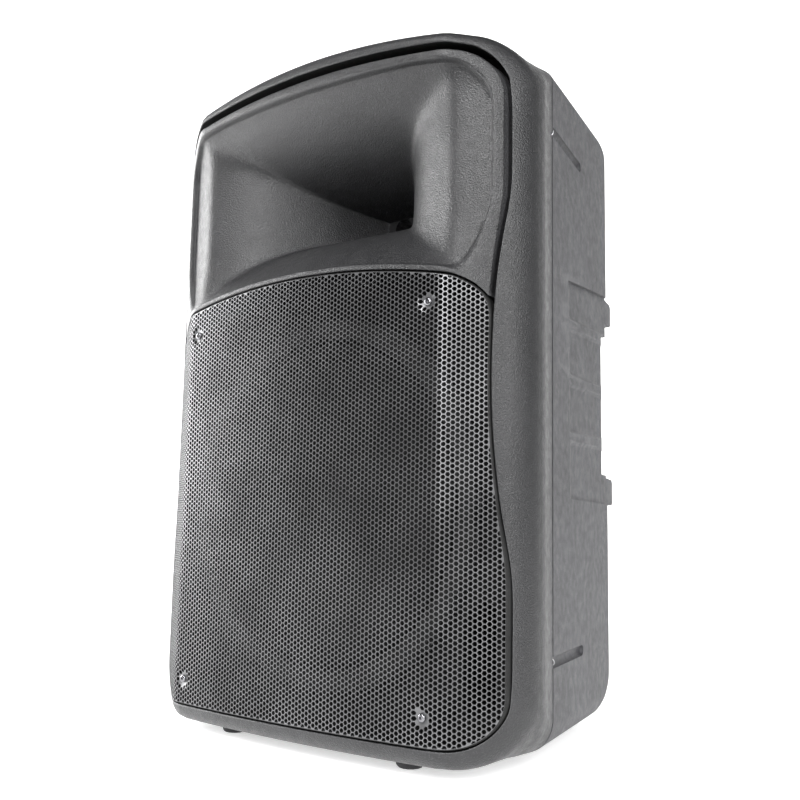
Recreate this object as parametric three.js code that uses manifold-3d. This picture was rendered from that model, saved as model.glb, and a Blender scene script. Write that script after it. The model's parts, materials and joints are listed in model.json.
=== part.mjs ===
// A two-way powered loudspeaker cabinet with a 15 inch woofer and a horn, in millimetres.
// +Z is up and the front faces -Y. Depths below are measured from the seam between the shells.
import * as THREE from "three";
import { mergeVertices } from "three/addons/utils/BufferGeometryUtils.js";
import Module from "manifold-3d";

const wasm = await Module();
wasm.setup();

// Overall sizes
const TOP_Z = 716;
const BOTTOM_Z = 10;
const ARCH = 0.000466; // drop of the top per squared mm from the middle
const SEAM_TO_MIDDLE = 67.7; // the seam lies this far behind the middle of the depth
const WALL = 5;
const TAPER = 0.2119; // side walls of the rear shell close in by this much per mm of depth
const SEAM_HALF = 225.4;
const FRONT_HALF = 236;
const REAR_WALL_Y = 235;
const GAP = 0.3; // clearance between pieces that touch
const SEAM_GAP = 1;

// Baffle and pocket
const POCKET_FLOOR_Y = -72;
const BAFFLE_BACK_Y = -58;
const BOW_Y = -131.6;
const BOW = 0.000335; // rise of the front per squared mm from the middle
const BOW_END = 172;
const FLANK_END = 216;
const FLANK_SLOPE = 0.65;
const GRILLE_GAP = 1.5; // between the grille and the edge of the pocket

// Grille
const GRILLE_ARCH_Z = 476;
const GRILLE_ARCH = 0.00055;
const GRILLE_FOLD = 11;
const GRILLE_SHEET = 1.6;
const GRILLE_SCREW_X = 159.2;
const GRILLE_SCREW_Z = [433.9, 55.75];

// Drivers
const WOOFER_Z = 248;
const WOOFER_HOLE = 178;
const HORN_Z = 576.5;
const THROAT_Y = 50;
const THROAT_HALF_X = 22;
const THROAT_HALF_Z = 11.5;
const ROUND = 24; // facets round a woofer piece
const SMALL_ROUND = 10; // facets round a small piece

// Rear
const PANEL_HALF_X = 118;
const PANEL_Z = [210, 540];
const PANEL_Y = REAR_WALL_Y + GAP;
const PANEL_SHEET = 3;
const FACE_Y = PANEL_Y + PANEL_SHEET + GAP; // where the pieces on the panel start
const KNOB_X = [-75, -25, 25, 75];
const KNOB_Z = 500;
const COMBO = { x: -62, z: 436 };
const LINK = { x: -6, z: 436 };
const LAMP = { x: 74, z: 436, r: 4 };
const INLET = { x: -62, z: 370 };
const SWITCH = { x: 62, z: 366 };
const ROCKER_TILT = 10;
const POCKET = { x: [128, 168], y: [150, 240], z: [290, 460] };
const CHANNEL_Z = [628, 98];
const CHANNEL_R = 5.3;
const CHANNEL_END = 112;
const SCREW_X = SEAM_HALF - 5.2; // where a shell screw crosses the seam
const SOCKET_Y = 52; // pole socket in the bottom

const COLOURS = {
  plastic: [0x3a3b3d, 0.72, 0],
  seal: [0x141414, 0.95, 0],
  steel: [0x1b1c1e, 0.35, 0.8],
  zinc: [0xb9bcc0, 0.3, 1],
  rubber: [0x17171a, 0.85, 0],
  paper: [0x1f1f21, 0.9, 0],
  cloth: [0x2b2622, 0.95, 0],
  copper: [0xb06a3a, 0.35, 1],
  ferrite: [0x2a2a2c, 0.7, 0],
  castAluminium: [0x6d7074, 0.5, 0.9],
  blackAluminium: [0x202224, 0.5, 0.6],
  board: [0x1f4a2c, 0.6, 0],
  nickel: [0xa8a8a6, 0.3, 1],
  glossPlastic: [0x101012, 0.25, 0],
  lens: [0x35c26a, 0.15, 0],
};

const cabinet = new THREE.Group();
cabinet.position.y = -SEAM_TO_MIDDLE;

// ---------- solids ----------

function signedVolume(positions, index) {
  const a = new THREE.Vector3();
  const b = new THREE.Vector3();
  const c = new THREE.Vector3();
  let sum = 0;
  for (let i = 0; i < index.length; i += 3) {
    a.fromArray(positions, index[i] * 3);
    b.fromArray(positions, index[i + 1] * 3);
    c.fromArray(positions, index[i + 2] * 3);
    sum += a.dot(b.cross(c)) / 6;
  }
  return sum;
}

// A closed geometry as a solid whose faces point outwards.
function solid(geometry) {
  const bare = geometry.clone();
  bare.deleteAttribute("normal");
  bare.deleteAttribute("uv");
  const merged = mergeVertices(bare, 1e-3);
  const vertProperties = new Float32Array(merged.attributes.position.array);
  const triVerts = new Uint32Array(merged.index.array);
  if (signedVolume(vertProperties, triVerts) < 0) {
    for (let i = 0; i < triVerts.length; i += 3) {
      [triVerts[i + 1], triVerts[i + 2]] = [triVerts[i + 2], triVerts[i + 1]];
    }
  }
  return new wasm.Manifold(new wasm.Mesh({ numProp: 3, vertProperties, triVerts }));
}

function geometryOf(shape) {
  const mesh = shape.getMesh();
  const positions = new Float32Array(mesh.numVert * 3);
  for (let i = 0; i < mesh.numVert; i++) {
    positions.set(mesh.vertProperties.subarray(i * mesh.numProp, i * mesh.numProp + 3), i * 3);
  }
  const geometry = new THREE.BufferGeometry();
  geometry.setAttribute("position", new THREE.BufferAttribute(positions, 3));
  geometry.setIndex(new THREE.BufferAttribute(new Uint32Array(mesh.triVerts), 1));
  geometry.computeVertexNormals();
  return geometry;
}

function place(name, shape, finish) {
  const [color, roughness, metalness] = COLOURS[finish];
  const material = new THREE.MeshStandardMaterial({ color, roughness, metalness });
  const mesh = new THREE.Mesh(geometryOf(shape), material);
  mesh.name = name;
  cabinet.add(mesh);
}

function box(x0, x1, y0, y1, z0, z1) {
  const geometry = new THREE.BoxGeometry(x1 - x0, y1 - y0, z1 - z0);
  geometry.translate((x0 + x1) / 2, (y0 + y1) / 2, (z0 + z1) / 2);
  return solid(geometry);
}

// A round piece about the Y direction, from a profile of [radius, y] points.
function latheY(profile, x, z, segments = ROUND) {
  const points = profile.map(([r, y]) => new THREE.Vector2(r, y));
  return solid(new THREE.LatheGeometry(points, segments).translate(x, 0, z));
}

// A round piece about the Z direction, from a profile of [radius, z] points.
function latheZ(profile, x, y, segments = ROUND) {
  const points = profile.map(([r, z]) => new THREE.Vector2(r, z));
  const geometry = new THREE.LatheGeometry(points, segments).rotateX(Math.PI / 2);
  return solid(geometry.translate(x, y, 0));
}

function rodY(r, y0, y1, x, z, segments = SMALL_ROUND) {
  return latheY([[0, y0], [r, y0], [r, y1], [0, y1]], x, z, segments);
}

function tubeY(inner, outer, y0, y1, x, z, segments = ROUND) {
  const profile = [[inner, y0], [outer, y0], [outer, y1], [inner, y1], [inner, y0]];
  return latheY(profile, x, z, segments);
}

// An outline in the X-Z plane carried from y0 to y1, leaning sideways by lean mm per mm.
function prismY(outline, y0, y1, lean = 0) {
  const geometry = new THREE.ExtrudeGeometry(new THREE.Shape(outline), {
    depth: y1 - y0,
    bevelEnabled: false,
    steps: 1,
  });
  const standUp = new THREE.Matrix4().set(1, 0, lean, 0, 0, 0, 1, y0, 0, 1, 0, 0, 0, 0, 0, 1);
  return solid(geometry.applyMatrix4(standUp));
}

// An outline in the X-Y plane carried from z0 to z1.
function prismZ(outline, z0, z1) {
  const shape = new THREE.Shape(outline);
  const geometry = new THREE.ExtrudeGeometry(shape, { depth: z1 - z0, bevelEnabled: false });
  return solid(geometry.translate(0, 0, z0));
}

// Rings of points joined in order. With ends capped it is a bar, without it is a closed loop.
function loft(rings, capped) {
  const count = rings[0].length;
  const positions = rings.flat().flatMap((p) => [p.x, p.y, p.z]);
  const index = [];
  const joins = capped ? rings.length - 1 : rings.length;
  for (let i = 0; i < joins; i++) {
    const a = i * count;
    const b = ((i + 1) % rings.length) * count;
    for (let j = 0; j < count; j++) {
      const k = (j + 1) % count;
      index.push(a + j, b + j, b + k, a + j, b + k, a + k);
    }
  }
  if (capped) {
    addCap(rings[0], 0, positions, index, false);
    addCap(rings[rings.length - 1], (rings.length - 1) * count, positions, index, true);
  }
  const geometry = new THREE.BufferGeometry();
  geometry.setAttribute("position", new THREE.Float32BufferAttribute(positions, 3));
  geometry.setIndex(index);
  return solid(geometry);
}

function addCap(ring, first, positions, index, forward) {
  const middle = new THREE.Vector3();
  ring.forEach((p) => middle.add(p));
  middle.divideScalar(ring.length);
  const centre = positions.length / 3;
  positions.push(middle.x, middle.y, middle.z);
  for (let j = 0; j < ring.length; j++) {
    const k = (j + 1) % ring.length;
    if (forward) index.push(centre, first + k, first + j);
    else index.push(centre, first + j, first + k);
  }
}

// ---------- outlines ----------

function mirrored(half) {
  const left = half.slice(1, -1).reverse();
  return half.concat(left.map((p) => new THREE.Vector2(-p.x, p.y)));
}

function arc(cx, cz, r, from, to, steps) {
  const points = [];
  for (let i = 0; i <= steps; i++) {
    const a = from + ((to - from) * i) / steps;
    points.push(new THREE.Vector2(cx + r * Math.cos(a), cz + r * Math.sin(a)));
  }
  return points;
}

// The cabinet seen from the front at one depth: arched top, flat bottom, rounded corners.
function shellOutline(half, topR, bottomR, topZ, bottomZ) {
  let lean = 0;
  for (let i = 0; i < 4; i++) {
    lean = Math.atan(2 * ARCH * (half - topR + topR * Math.sin(lean)));
  }
  const edgeX = half - topR + topR * Math.sin(lean);
  const edgeZ = topZ - ARCH * edgeX * edgeX;
  const cx = edgeX - topR * Math.sin(lean);
  const cz = edgeZ - topR * Math.cos(lean);
  const points = [new THREE.Vector2(0, bottomZ)];
  points.push(...arc(half - bottomR, bottomZ + bottomR, bottomR, -Math.PI / 2, 0, 5));
  points.push(...arc(cx, cz, topR, 0, Math.PI / 2 - lean, 5));
  for (const share of [0.66, 0.33, 0]) {
    const x = edgeX * share;
    points.push(new THREE.Vector2(x, topZ - ARCH * x * x));
  }
  return mirrored(points);
}

// Depth, half width, top radius, bottom radius, drop of the top and rise of the bottom.
const SECTIONS = [
  [-140, FRONT_HALF, 46, 57, 0, 0],
  [-47, FRONT_HALF, 46, 57, 0, 0],
  [-33, 234.8, 40, 52, 0, 0],
  [-20, 230, 28, 45, 0, 0],
  [-12, 228, 20, 41, 0, 0],
  [0, SEAM_HALF, 12, 36, 0, 0],
  [205, SEAM_HALF - TAPER * 205, 12, 33, 0, 0],
  [222, SEAM_HALF - TAPER * 222, 12, 32, 3, 7],
  [230, SEAM_HALF - TAPER * 230, 11, 31, 8, 14],
  [REAR_WALL_Y, SEAM_HALF - TAPER * REAR_WALL_Y - 3, 10, 30, 15, 26],
];

function sectionAt(y) {
  const next = Math.max(1, SECTIONS.findIndex((s) => s[0] >= y));
  const [a, b] = [SECTIONS[next - 1], SECTIONS[next]];
  const share = (y - a[0]) / (b[0] - a[0]);
  return a.map((value, i) => value + (b[i] - value) * share);
}

function shellRing(y, inset) {
  const [, half, topR, bottomR, drop, rise] = sectionAt(y);
  const outline = shellOutline(
    half - inset,
    Math.max(4, topR - inset),
    Math.max(4, bottomR - inset),
    TOP_Z - drop - inset,
    BOTTOM_Z + rise + inset,
  );
  return outline.map((p) => new THREE.Vector3(p.x, y, p.y));
}

// The body of the cabinet from y0 to y1, drawn in by inset all round.
function shellBody(y0, y1, inset) {
  const between = SECTIONS.map((s) => s[0]).filter((y) => y > y0 && y < y1);
  return loft([y0, ...between, y1].map((y) => shellRing(y, inset)), true);
}

function frontY(x) {
  const a = Math.abs(x);
  if (a <= BOW_END) return BOW_Y + BOW * a * a;
  return BOW_Y + BOW * BOW_END * BOW_END + FLANK_SLOPE * (a - BOW_END);
}

// Everything behind the bowed front, seen from above and moved back by inset.
function behindFront(inset) {
  const half = [0, 45, 90, 130, BOW_END, FLANK_END].map((x) => new THREE.Vector2(x, frontY(x)));
  const corner = new THREE.QuadraticBezierCurve(
    new THREE.Vector2(FLANK_END, frontY(FLANK_END)),
    new THREE.Vector2(FRONT_HALF, frontY(FLANK_END) + 13),
    new THREE.Vector2(FRONT_HALF, -47),
  );
  half.push(...corner.getPoints(5).slice(1));
  half.push(new THREE.Vector2(FRONT_HALF + 24, -47), new THREE.Vector2(FRONT_HALF + 24, 300));
  half.push(new THREE.Vector2(0, 300));
  const outline = mirrored(half).map((p) => new THREE.Vector2(p.x, p.y + inset));
  return prismZ(outline, -10, TOP_Z + 20);
}

// Edge of the pocket that holds the grille and the horn, from bottom to top.
function pocketHalf() {
  const points = [new THREE.Vector2(0, 28.3)];
  points.push(...arc(179.5, 75.8, 47.5, -Math.PI / 2, 0, 6));
  const waist = new THREE.SplineCurve([
    new THREE.Vector2(227.2, 130),
    new THREE.Vector2(226.6, 186),
    new THREE.Vector2(220.2, 240),
    new THREE.Vector2(214.6, 300),
    new THREE.Vector2(212.5, 355),
    new THREE.Vector2(213.8, 420),
    new THREE.Vector2(217.3, 467),
    new THREE.Vector2(222.9, 514),
    new THREE.Vector2(225.6, 545),
  ]);
  points.push(...waist.getPoints(8));
  points.push(...arc(176, 638.5, 50, 0, Math.PI / 2 - 0.12, 6));
  for (const x of [140, 95, 45, 0]) {
    points.push(new THREE.Vector2(x, 699.6 - 0.00036 * x * x));
  }
  return points;
}

// An outline that runs anticlockwise, drawn in by inset at each point.
function drawnIn(outline, inset) {
  const count = outline.length;
  return outline.map((p, i) => {
    const before = outline[(i + count - 1) % count];
    const after = outline[(i + 1) % count];
    const a = new THREE.Vector2().subVectors(p, before).normalize();
    const b = new THREE.Vector2().subVectors(after, p).normalize();
    const inward = new THREE.Vector2(-a.y - b.y, a.x + b.x).normalize();
    const cosine = Math.max(0.5, inward.dot(new THREE.Vector2(-a.y, a.x)));
    return inward.multiplyScalar(inset / cosine).add(p);
  });
}

const pocketEdge = mirrored(pocketHalf());

function grilleArchZ(x) {
  return GRILLE_ARCH_Z - GRILLE_ARCH * x * x;
}

// Everything below the arched upper edge of the grille.
function belowArch(inset) {
  const half = [new THREE.Vector2(0, 0), new THREE.Vector2(240, 0), new THREE.Vector2(240, 415)];
  half.push(...arc(174, 418, 39.2 - inset, 0, Math.PI / 2 - 0.2, 5));
  for (const x of [140, 95, 45, 0]) {
    half.push(new THREE.Vector2(x, grilleArchZ(x) - inset));
  }
  return mirrored(half);
}

// Stations round half of the horn moulding, each with a point where the flare meets the rim
// and the point of the outer edge next to it.
const HORN_RIM = [
  [0, 485, 0, 477.8],
  [60, 483, 60, 475.8],
  [110, 478.3, 110, 471.1],
  [145, 473.4, 147, 465.9],
  [160, 471, 170, 461.9],
  [168, 469.9, 184, 458.9],
  [174, 469.8, 198.5, 451],
  [179, 471.5, 206.6, 443.2],
  [183, 474, 210.2, 438.5],
  [189, 481, 211.5, 453],
  [194.4, 490.7, 212.7, 467.7],
  [199.4, 500.4, 215.1, 490.7],
  [202.8, 510, 216.8, 505],
  [205.9, 519.8, 218.6, 519],
  [208.2, 535, 220.8, 537],
  [208.7, 560, 221, 560],
  [208.7, 600, 221, 600],
  [208.4, 628, 221, 636],
  [206.3, 638.3, 219.3, 648],
  [202, 648.4, 214.3, 659.7],
  [193.4, 658.7, 204.4, 670.9],
  [185.7, 665.4, 193, 677.7],
  [178, 669, 181.4, 680.7],
  [159, 672, 159, 683.1],
  [136, 674.8, 136, 685.4],
  [90, 676.8, 90, 688.9],
  [45, 678, 45, 691],
  [0, 678.5, 0, 691.7],
];
const mouthHalf = HORN_RIM.map(([x, z]) => new THREE.Vector2(x, z));
const hornHalf = HORN_RIM.map(([, , x, z]) => new THREE.Vector2(x, z));

// The outer edge of the horn moulding, moved towards the mouth.
function hornOutline(inset) {
  const mouth = mirrored(mouthHalf);
  return mirrored(hornHalf).map((p, i) => {
    return new THREE.Vector2().subVectors(mouth[i], p).setLength(inset).add(p);
  });
}

// ---------- shells ----------

function screwBoss(side, z) {
  const x = [side * (SCREW_X - 7), side * (SCREW_X + 16)].sort((a, b) => a - b);
  const block = box(x[0], x[1], BAFFLE_BACK_Y - 1, -SEAM_GAP, z - 8, z + 8);
  return block.intersect(shellBody(-90, -SEAM_GAP, 2));
}

function frontShell() {
  let shell = shellBody(-140, -SEAM_GAP, 0).intersect(behindFront(0));
  shell = shell.subtract(shellBody(BAFFLE_BACK_Y, 20, WALL));
  shell = shell.subtract(prismY(pocketEdge, -160, POCKET_FLOOR_Y));
  for (const side of [-1, 1]) {
    for (const z of CHANNEL_Z) {
      shell = shell.add(screwBoss(side, z));
      shell = shell.subtract(screwHole(side, z));
    }
    for (const z of GRILLE_SCREW_Z) {
      const x = side * GRILLE_SCREW_X;
      shell = shell.add(rodY(5.4, POCKET_FLOOR_Y - 47, POCKET_FLOOR_Y + 1, x, z));
      shell = shell.subtract(rodY(2.6, -140, POCKET_FLOOR_Y - 20, x, z, 8));
    }
    const opening = drawnIn(portOutline(side), -3 - GAP);
    shell = shell.subtract(prismY(opening, -90, -40, -side * TAPER));
  }
  shell = shell.subtract(rodY(WOOFER_HOLE, -90, -40, 0, WOOFER_Z, ROUND));
  const hornHole = hornOutline(6);
  return shell.subtract(prismY(hornHole, -90, -40));
}

function fingerPocket(side, grow) {
  const x = POCKET.x.map((v) => side * v).sort((a, b) => a - b);
  const [y0, y1] = POCKET.y;
  const back = grow ? REAR_WALL_Y : y1;
  return box(x[0] - grow, x[1] + grow, y0 - grow, back, POCKET.z[0] - grow, POCKET.z[1] + grow);
}

// A round-bottomed channel for a screwdriver, which runs back from y0 along the tapered side.
function screwChannel(side, z, grow, y0) {
  const r = CHANNEL_R + grow;
  const start = SCREW_X - TAPER * y0;
  const outline = arc(start, z, r, Math.PI / 2, Math.PI * 1.5, 8);
  outline.push(new THREE.Vector2(start + 20, z - r), new THREE.Vector2(start + 20, z + r));
  const placed = outline.map((p) => new THREE.Vector2(side * p.x, p.y));
  return prismY(placed, y0, CHANNEL_END + grow, -side * TAPER);
}

// A round shaft along the tapered side, through the point where the screw crosses the seam.
function alongSide(profile, side, z, segments) {
  const points = profile.map(([r, y]) => new THREE.Vector2(r, y));
  const geometry = new THREE.LatheGeometry(points, segments);
  geometry.rotateZ(side * Math.atan(TAPER));
  return solid(geometry.translate(side * SCREW_X, 0, z));
}

function screwHole(side, z) {
  return alongSide([[0, -44], [2.6, -44], [2.6, 10], [0, 10]], side, z, 8);
}

// The shallow hand recess on the side with its three raised bars.
function gripRecess(side) {
  const depth = 5;
  const outline = [[60, 258], [60, 486], [214, 503], [214, 256]];
  const outer = SEAM_HALF + 20;
  const slab = (points, low, high) => {
    const ring = (x) => points.map(([y, z]) => {
      const face = SEAM_HALF - TAPER * y;
      return new THREE.Vector3(side * (face + x), y, z);
    });
    return loft([ring(low), ring(high)], true);
  };
  let recess = slab(outline, -depth, outer - SEAM_HALF);
  for (const [z, rise, end] of [[435, 10, 209], [376, 5, 207], [315, 5, 205]]) {
    const bar = [[40, z - 3], [40, z + 3], [end, z + rise + 3], [end, z + rise - 3]];
    recess = recess.subtract(slab(bar, -depth - 1, -0.5));
  }
  return recess;
}

function rearTab(side, z0, z1, y1) {
  const x = [side * 150, side * 168.8].sort((a, b) => a - b);
  return box(x[0], x[1], REAR_WALL_Y - 6, y1, z0, z1);
}

function rearShell() {
  let shell = shellBody(SEAM_GAP, REAR_WALL_Y, 0);
  let room = shellBody(-20, REAR_WALL_Y - WALL, WALL);
  for (const side of [-1, 1]) {
    room = room.subtract(fingerPocket(side, WALL));
    CHANNEL_Z.forEach((z) => {
      room = room.subtract(screwChannel(side, z, 3, -20));
    });
    room = room.subtract(gripBacking(side));
  }
  shell = shell.subtract(room);
  for (const side of [-1, 1]) {
    shell = shell.subtract(fingerPocket(side, 0));
    CHANNEL_Z.forEach((z) => {
      shell = shell.subtract(screwChannel(side, z, 0, 5));
      shell = shell.subtract(screwHole(side, z));
    });
    shell = shell.subtract(gripRecess(side));
    const gap = [side * POCKET.x[0], side * 200].sort((a, b) => a - b);
    shell = shell.subtract(box(gap[0], gap[1], 212, 240, POCKET.z[0], POCKET.z[1]));
    shell = shell.add(rearTab(side, 476, 504, 265)).add(rearTab(side, 254, 285, 267));
  }
  const [z0, z1] = PANEL_Z;
  shell = shell.subtract(box(-108, 108, REAR_WALL_Y - 20, 250, z0 + 14, z1 - 14));
  for (const [x, z] of panelCorners()) {
    shell = shell.subtract(rodY(2.4, REAR_WALL_Y - 20, 250, x, z, 8));
  }
  return shell.subtract(rodZ(22 + GAP, 0, 30, 0, SOCKET_Y));
}

// Material behind the hand recess, so that the wall keeps its thickness there.
function gripBacking(side) {
  const ring = (x) => [[55, 250], [55, 492], [216, 508], [216, 250]].map(([y, z]) => {
    return new THREE.Vector3(side * (SEAM_HALF - TAPER * y + x), y, z);
  });
  return loft([ring(-10), ring(10)], true);
}

function rodZ(r, z0, z1, x, y) {
  return latheZ([[0, z0], [r, z0], [r, z1], [0, z1]], x, y, 20);
}

function shellGasket() {
  const outer = shellBody(-0.6, 0.6, 1);
  return outer.subtract(shellBody(-2, 2, 2.2));
}

function poleSocket() {
  const profile = [[18, 10], [22, 10], [22, 15.3], [38, 15.3], [38, 18.5], [22, 19], [22, 96],
    [0, 96], [0, 92], [18, 92], [18, 10]];
  return latheZ(profile, 0, SOCKET_Y, 20);
}

function foot(x, y) {
  const profile = [[0, 0], [11, 0], [13.5, 2.5], [14, 7], [14, 9.7], [0, 9.7]];
  return latheZ(profile, x, y, 14);
}

// ---------- grille ----------

function grille() {
  const slab = (y0, outline) => {
    const prism = prismY(outline, -160, POCKET_FLOOR_Y + 30);
    return prism.intersect(behindFront(y0));
  };
  const outer = drawnIn(pocketEdge, GRILLE_GAP);
  const under = prismY(belowArch(0), -160, 0);
  const inner = drawnIn(pocketEdge, GRILLE_GAP + GRILLE_SHEET);
  const underInner = prismY(belowArch(GRILLE_SHEET), -160, 0);
  let tray = slab(0, outer).intersect(under).subtract(behindFront(GRILLE_FOLD));
  tray = tray.subtract(slab(GRILLE_SHEET, inner).intersect(underInner));
  for (const x of [-GRILLE_SCREW_X, GRILLE_SCREW_X]) {
    for (const z of GRILLE_SCREW_Z) {
      tray = tray.subtract(rodY(3, -160, -80, x, z, 8));
    }
  }
  return tray;
}

function grilleScrew(x, z) {
  const face = frontY(x);
  const profile = [[0, face - 3.4], [4, face - 3.2], [6, face - 2], [6, face - 0.9], [2.2, face - 0.9],
    [2.2, face + 26], [0, face + 28]];
  return latheY(profile, x, z, 8);
}

// ---------- horn ----------

function throatRadius(angle, grow) {
  const c = Math.abs(Math.cos(angle)) / (THROAT_HALF_X + grow);
  const s = Math.abs(Math.sin(angle)) / (THROAT_HALF_Z + grow);
  return Math.pow(Math.pow(c, 8) + Math.pow(s, 8), -1 / 8);
}

// A steep straight wall near the throat that rounds over into a shallow one.
function sideWall(share) {
  const steep = 1.85 * share;
  const shallow = 0.68 + 0.32 * share;
  return (steep + shallow - Math.hypot(steep - shallow, 0.14)) / 2;
}

// Share of the depth gained at a share of the way out from the throat.
// How far the mouth reaches from the middle line at a height, or up or down at a width.
function mouthReach(along, across, value, pick) {
  const hits = [];
  for (let i = 1; i < mouthHalf.length; i++) {
    const a = mouthHalf[i - 1];
    const b = mouthHalf[i];
    if ((a[along] - value) * (b[along] - value) > 0 || a[along] === b[along]) continue;
    const share = (value - a[along]) / (b[along] - a[along]);
    hits.push(a[across] + share * (b[across] - a[across]));
  }
  return hits.length ? pick(...hits) : NaN;
}

// Share of the horn's depth, 0 at the throat and 1 at the mouth, at a point of its front view.
function flare(x, z) {
  const wide = mouthReach("y", "x", z, Math.max);
  const pick = z > HORN_Z ? Math.max : Math.min;
  const tall = Math.abs(mouthReach("x", "y", Math.abs(x), pick) - HORN_Z);
  const u = (Math.abs(x) - THROAT_HALF_X) / (wide - THROAT_HALF_X);
  const v = (Math.abs(z - HORN_Z) - THROAT_HALF_Z) / (tall - THROAT_HALF_Z);
  const level = Number.isNaN(u) ? 1 : THREE.MathUtils.clamp(u, 0, 1);
  const upright = Number.isNaN(v) ? 1 : THREE.MathUtils.clamp(v, 0, 1);
  const side = 1 - (sideWall(level) - sideWall(0)) / (sideWall(1) - sideWall(0));
  const roof = 1 - Math.log(1 + 5 * upright) / Math.log(6);
  const soft = 0.12 * (1 - Math.min(side, roof)) * Math.sqrt(Math.min(1, 12 * side * roof));
  return 1 - Math.max(0, (side + roof - Math.hypot(side - roof, soft)) / 2);
}

function hornWaveguide() {
  const mouth = mirrored(mouthHalf);
  const wall = 4;
  const inner = (share, p, out, back) => {
    const angle = Math.atan2(p.y - HORN_Z, p.x);
    const far = Math.hypot(p.y - HORN_Z, p.x);
    const near = throatRadius(angle, 0);
    const r = near + (far - near) * share;
    const x = r * Math.cos(angle);
    const z = HORN_Z + r * Math.sin(angle);
    const depth = share === 1 ? 1 : flare(x, z);
    const y = THROAT_Y - (THROAT_Y - frontY(x) - 1.5) * depth;
    const outX = x + out * Math.cos(angle);
    return new THREE.Vector3(outX, y + back, z + out * Math.sin(angle));
  };
  const rim = (inset, y) => {
    return hornOutline(inset).map((q) => new THREE.Vector3(q.x, y(q.x), q.y));
  };
  const shares = [0, 0.05, 0.14, 0.28, 0.48, 0.72, 1];
  const rings = shares.map((share) => mouth.map((p) => inner(share, p, 0, 0)));
  rings.push(rim(1.5, (x) => frontY(x)));
  rings.push(rim(0, (x) => frontY(x) + 1.5));
  rings.push(rim(0, () => POCKET_FLOOR_Y - GAP));
  rings.push(rim(wall, () => POCKET_FLOOR_Y - GAP));
  rings.push(rim(wall, (x) => frontY(x) + wall + 1));
  const back = shares.slice(1, -1).reverse();
  rings.push(...back.map((share) => mouth.map((p) => inner(share, p, wall, wall * share))));
  rings.push(mouth.map((p) => inner(0, p, wall, 0)));
  return loft(rings, false);
}

function hornDriver() {
  const at = [0, HORN_Z];
  const y = THROAT_Y + GAP;
  place("horn_driver_flange", tubeY(12.5, 50, y, y + 11, ...at, 20), "castAluminium");
  place("horn_driver_magnet", tubeY(14, 45, y + 11.3, y + 35, ...at, 20), "ferrite");
  const seat = y + 35.3;
  const dome = [[0, seat + 8], [12, seat + 6.5], [20, seat + 1], [34, seat + 1], [34, seat],
    [21, seat], [12, seat + 5.5], [0, seat + 7]];
  place("horn_driver_diaphragm", latheY(dome, ...at, 20), "paper");
  const cover = [[36, seat], [45, seat], [45, seat + 18], [38, seat + 24], [0, seat + 24],
    [0, seat + 20], [36, seat + 16], [36, seat]];
  place("horn_driver_cover", latheY(cover, ...at, 20), "castAluminium");
}

// ---------- woofer ----------

function wooferBasket() {
  const profile = [[173, -80], [194, -80], [194, POCKET_FLOOR_Y - GAP], [176.5, POCKET_FLOOR_Y - GAP],
    [172, -60], [150, -15], [92, 24], [92, 30], [50, 30], [50, 27], [86, 27], [86, 20],
    [145, -18], [167, -60], [173, -72], [173, -80]];
  let basket = latheY(profile, 0, WOOFER_Z);
  for (let i = 0; i < 6; i++) {
    const window = new THREE.BoxGeometry(54, 34, 60);
    window.translate(0, -16, 150);
    window.rotateY((i + 0.5) * (Math.PI / 3));
    basket = basket.subtract(solid(window.translate(0, 0, WOOFER_Z)));
  }
  return basket;
}

// The half-round roll between the cone and the frame.
function wooferSurround() {
  const outer = [];
  const inner = [];
  const steps = 4;
  for (let i = 0; i <= steps; i++) {
    const a = Math.PI - (Math.PI * i) / steps;
    outer.push([160 + 9 * Math.cos(a), -76 - 8 * Math.sin(a)]);
    inner.push([160 + 8 * Math.cos(a), -76 - 7 * Math.sin(a)]);
  }
  const front = [[148.4, -77], ...outer, [171.4, -77]];
  const back = [[148.4, -76], ...inner, [171.4, -76]].reverse();
  return latheY([...front, ...back, front[0]], 0, WOOFER_Z);
}

function wooferCone() {
  const profile = [[147.8, -77], [100, -50], [39.6, -21], [39.6, -19.4], [100, -48.4],
    [147.8, -75.4], [147.8, -77]];
  return latheY(profile, 0, WOOFER_Z);
}

function dustCap() {
  const profile = [[0, -44], [25, -42], [45, -36], [57, -30.4], [57, -29.4], [45, -34.6],
    [25, -40.6], [0, -42.6]];
  return latheY(profile, 0, WOOFER_Z);
}

function wooferSpider() {
  const front = [];
  const folds = 5;
  for (let i = 0; i <= folds; i++) {
    front.push([39.2 + (i * 51) / folds, i % 2 ? 16.4 : 14]);
  }
  const back = front.map(([r, y]) => [r, y - 0.9]).reverse();
  return latheY([...front, ...back, front[0]], 0, WOOFER_Z);
}

function woofer() {
  place("woofer_basket", wooferBasket(), "castAluminium");
  place("woofer_gasket", tubeY(172.4, 192, -86, -80.3, 0, WOOFER_Z), "seal");
  place("woofer_surround", wooferSurround(), "cloth");
  place("woofer_cone", wooferCone(), "paper");
  place("woofer_dust_cap", dustCap(), "paper");
  place("woofer_spider", wooferSpider(), "cloth");
  place("woofer_voice_coil", tubeY(37.3, 38.4, -22, 50, 0, WOOFER_Z), "copper");
  place("woofer_top_plate", tubeY(39, 88, 30.3, 38, 0, WOOFER_Z), "zinc");
  place("woofer_magnet", tubeY(48, 85, 38.3, 61, 0, WOOFER_Z), "ferrite");
  const yoke = [[0, 30.3], [36.8, 30.3], [36.8, 61.3], [80, 61.3], [80, 75], [0, 75]];
  place("woofer_back_plate", latheY(yoke, 0, WOOFER_Z), "zinc");
}

// ---------- ports ----------

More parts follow.
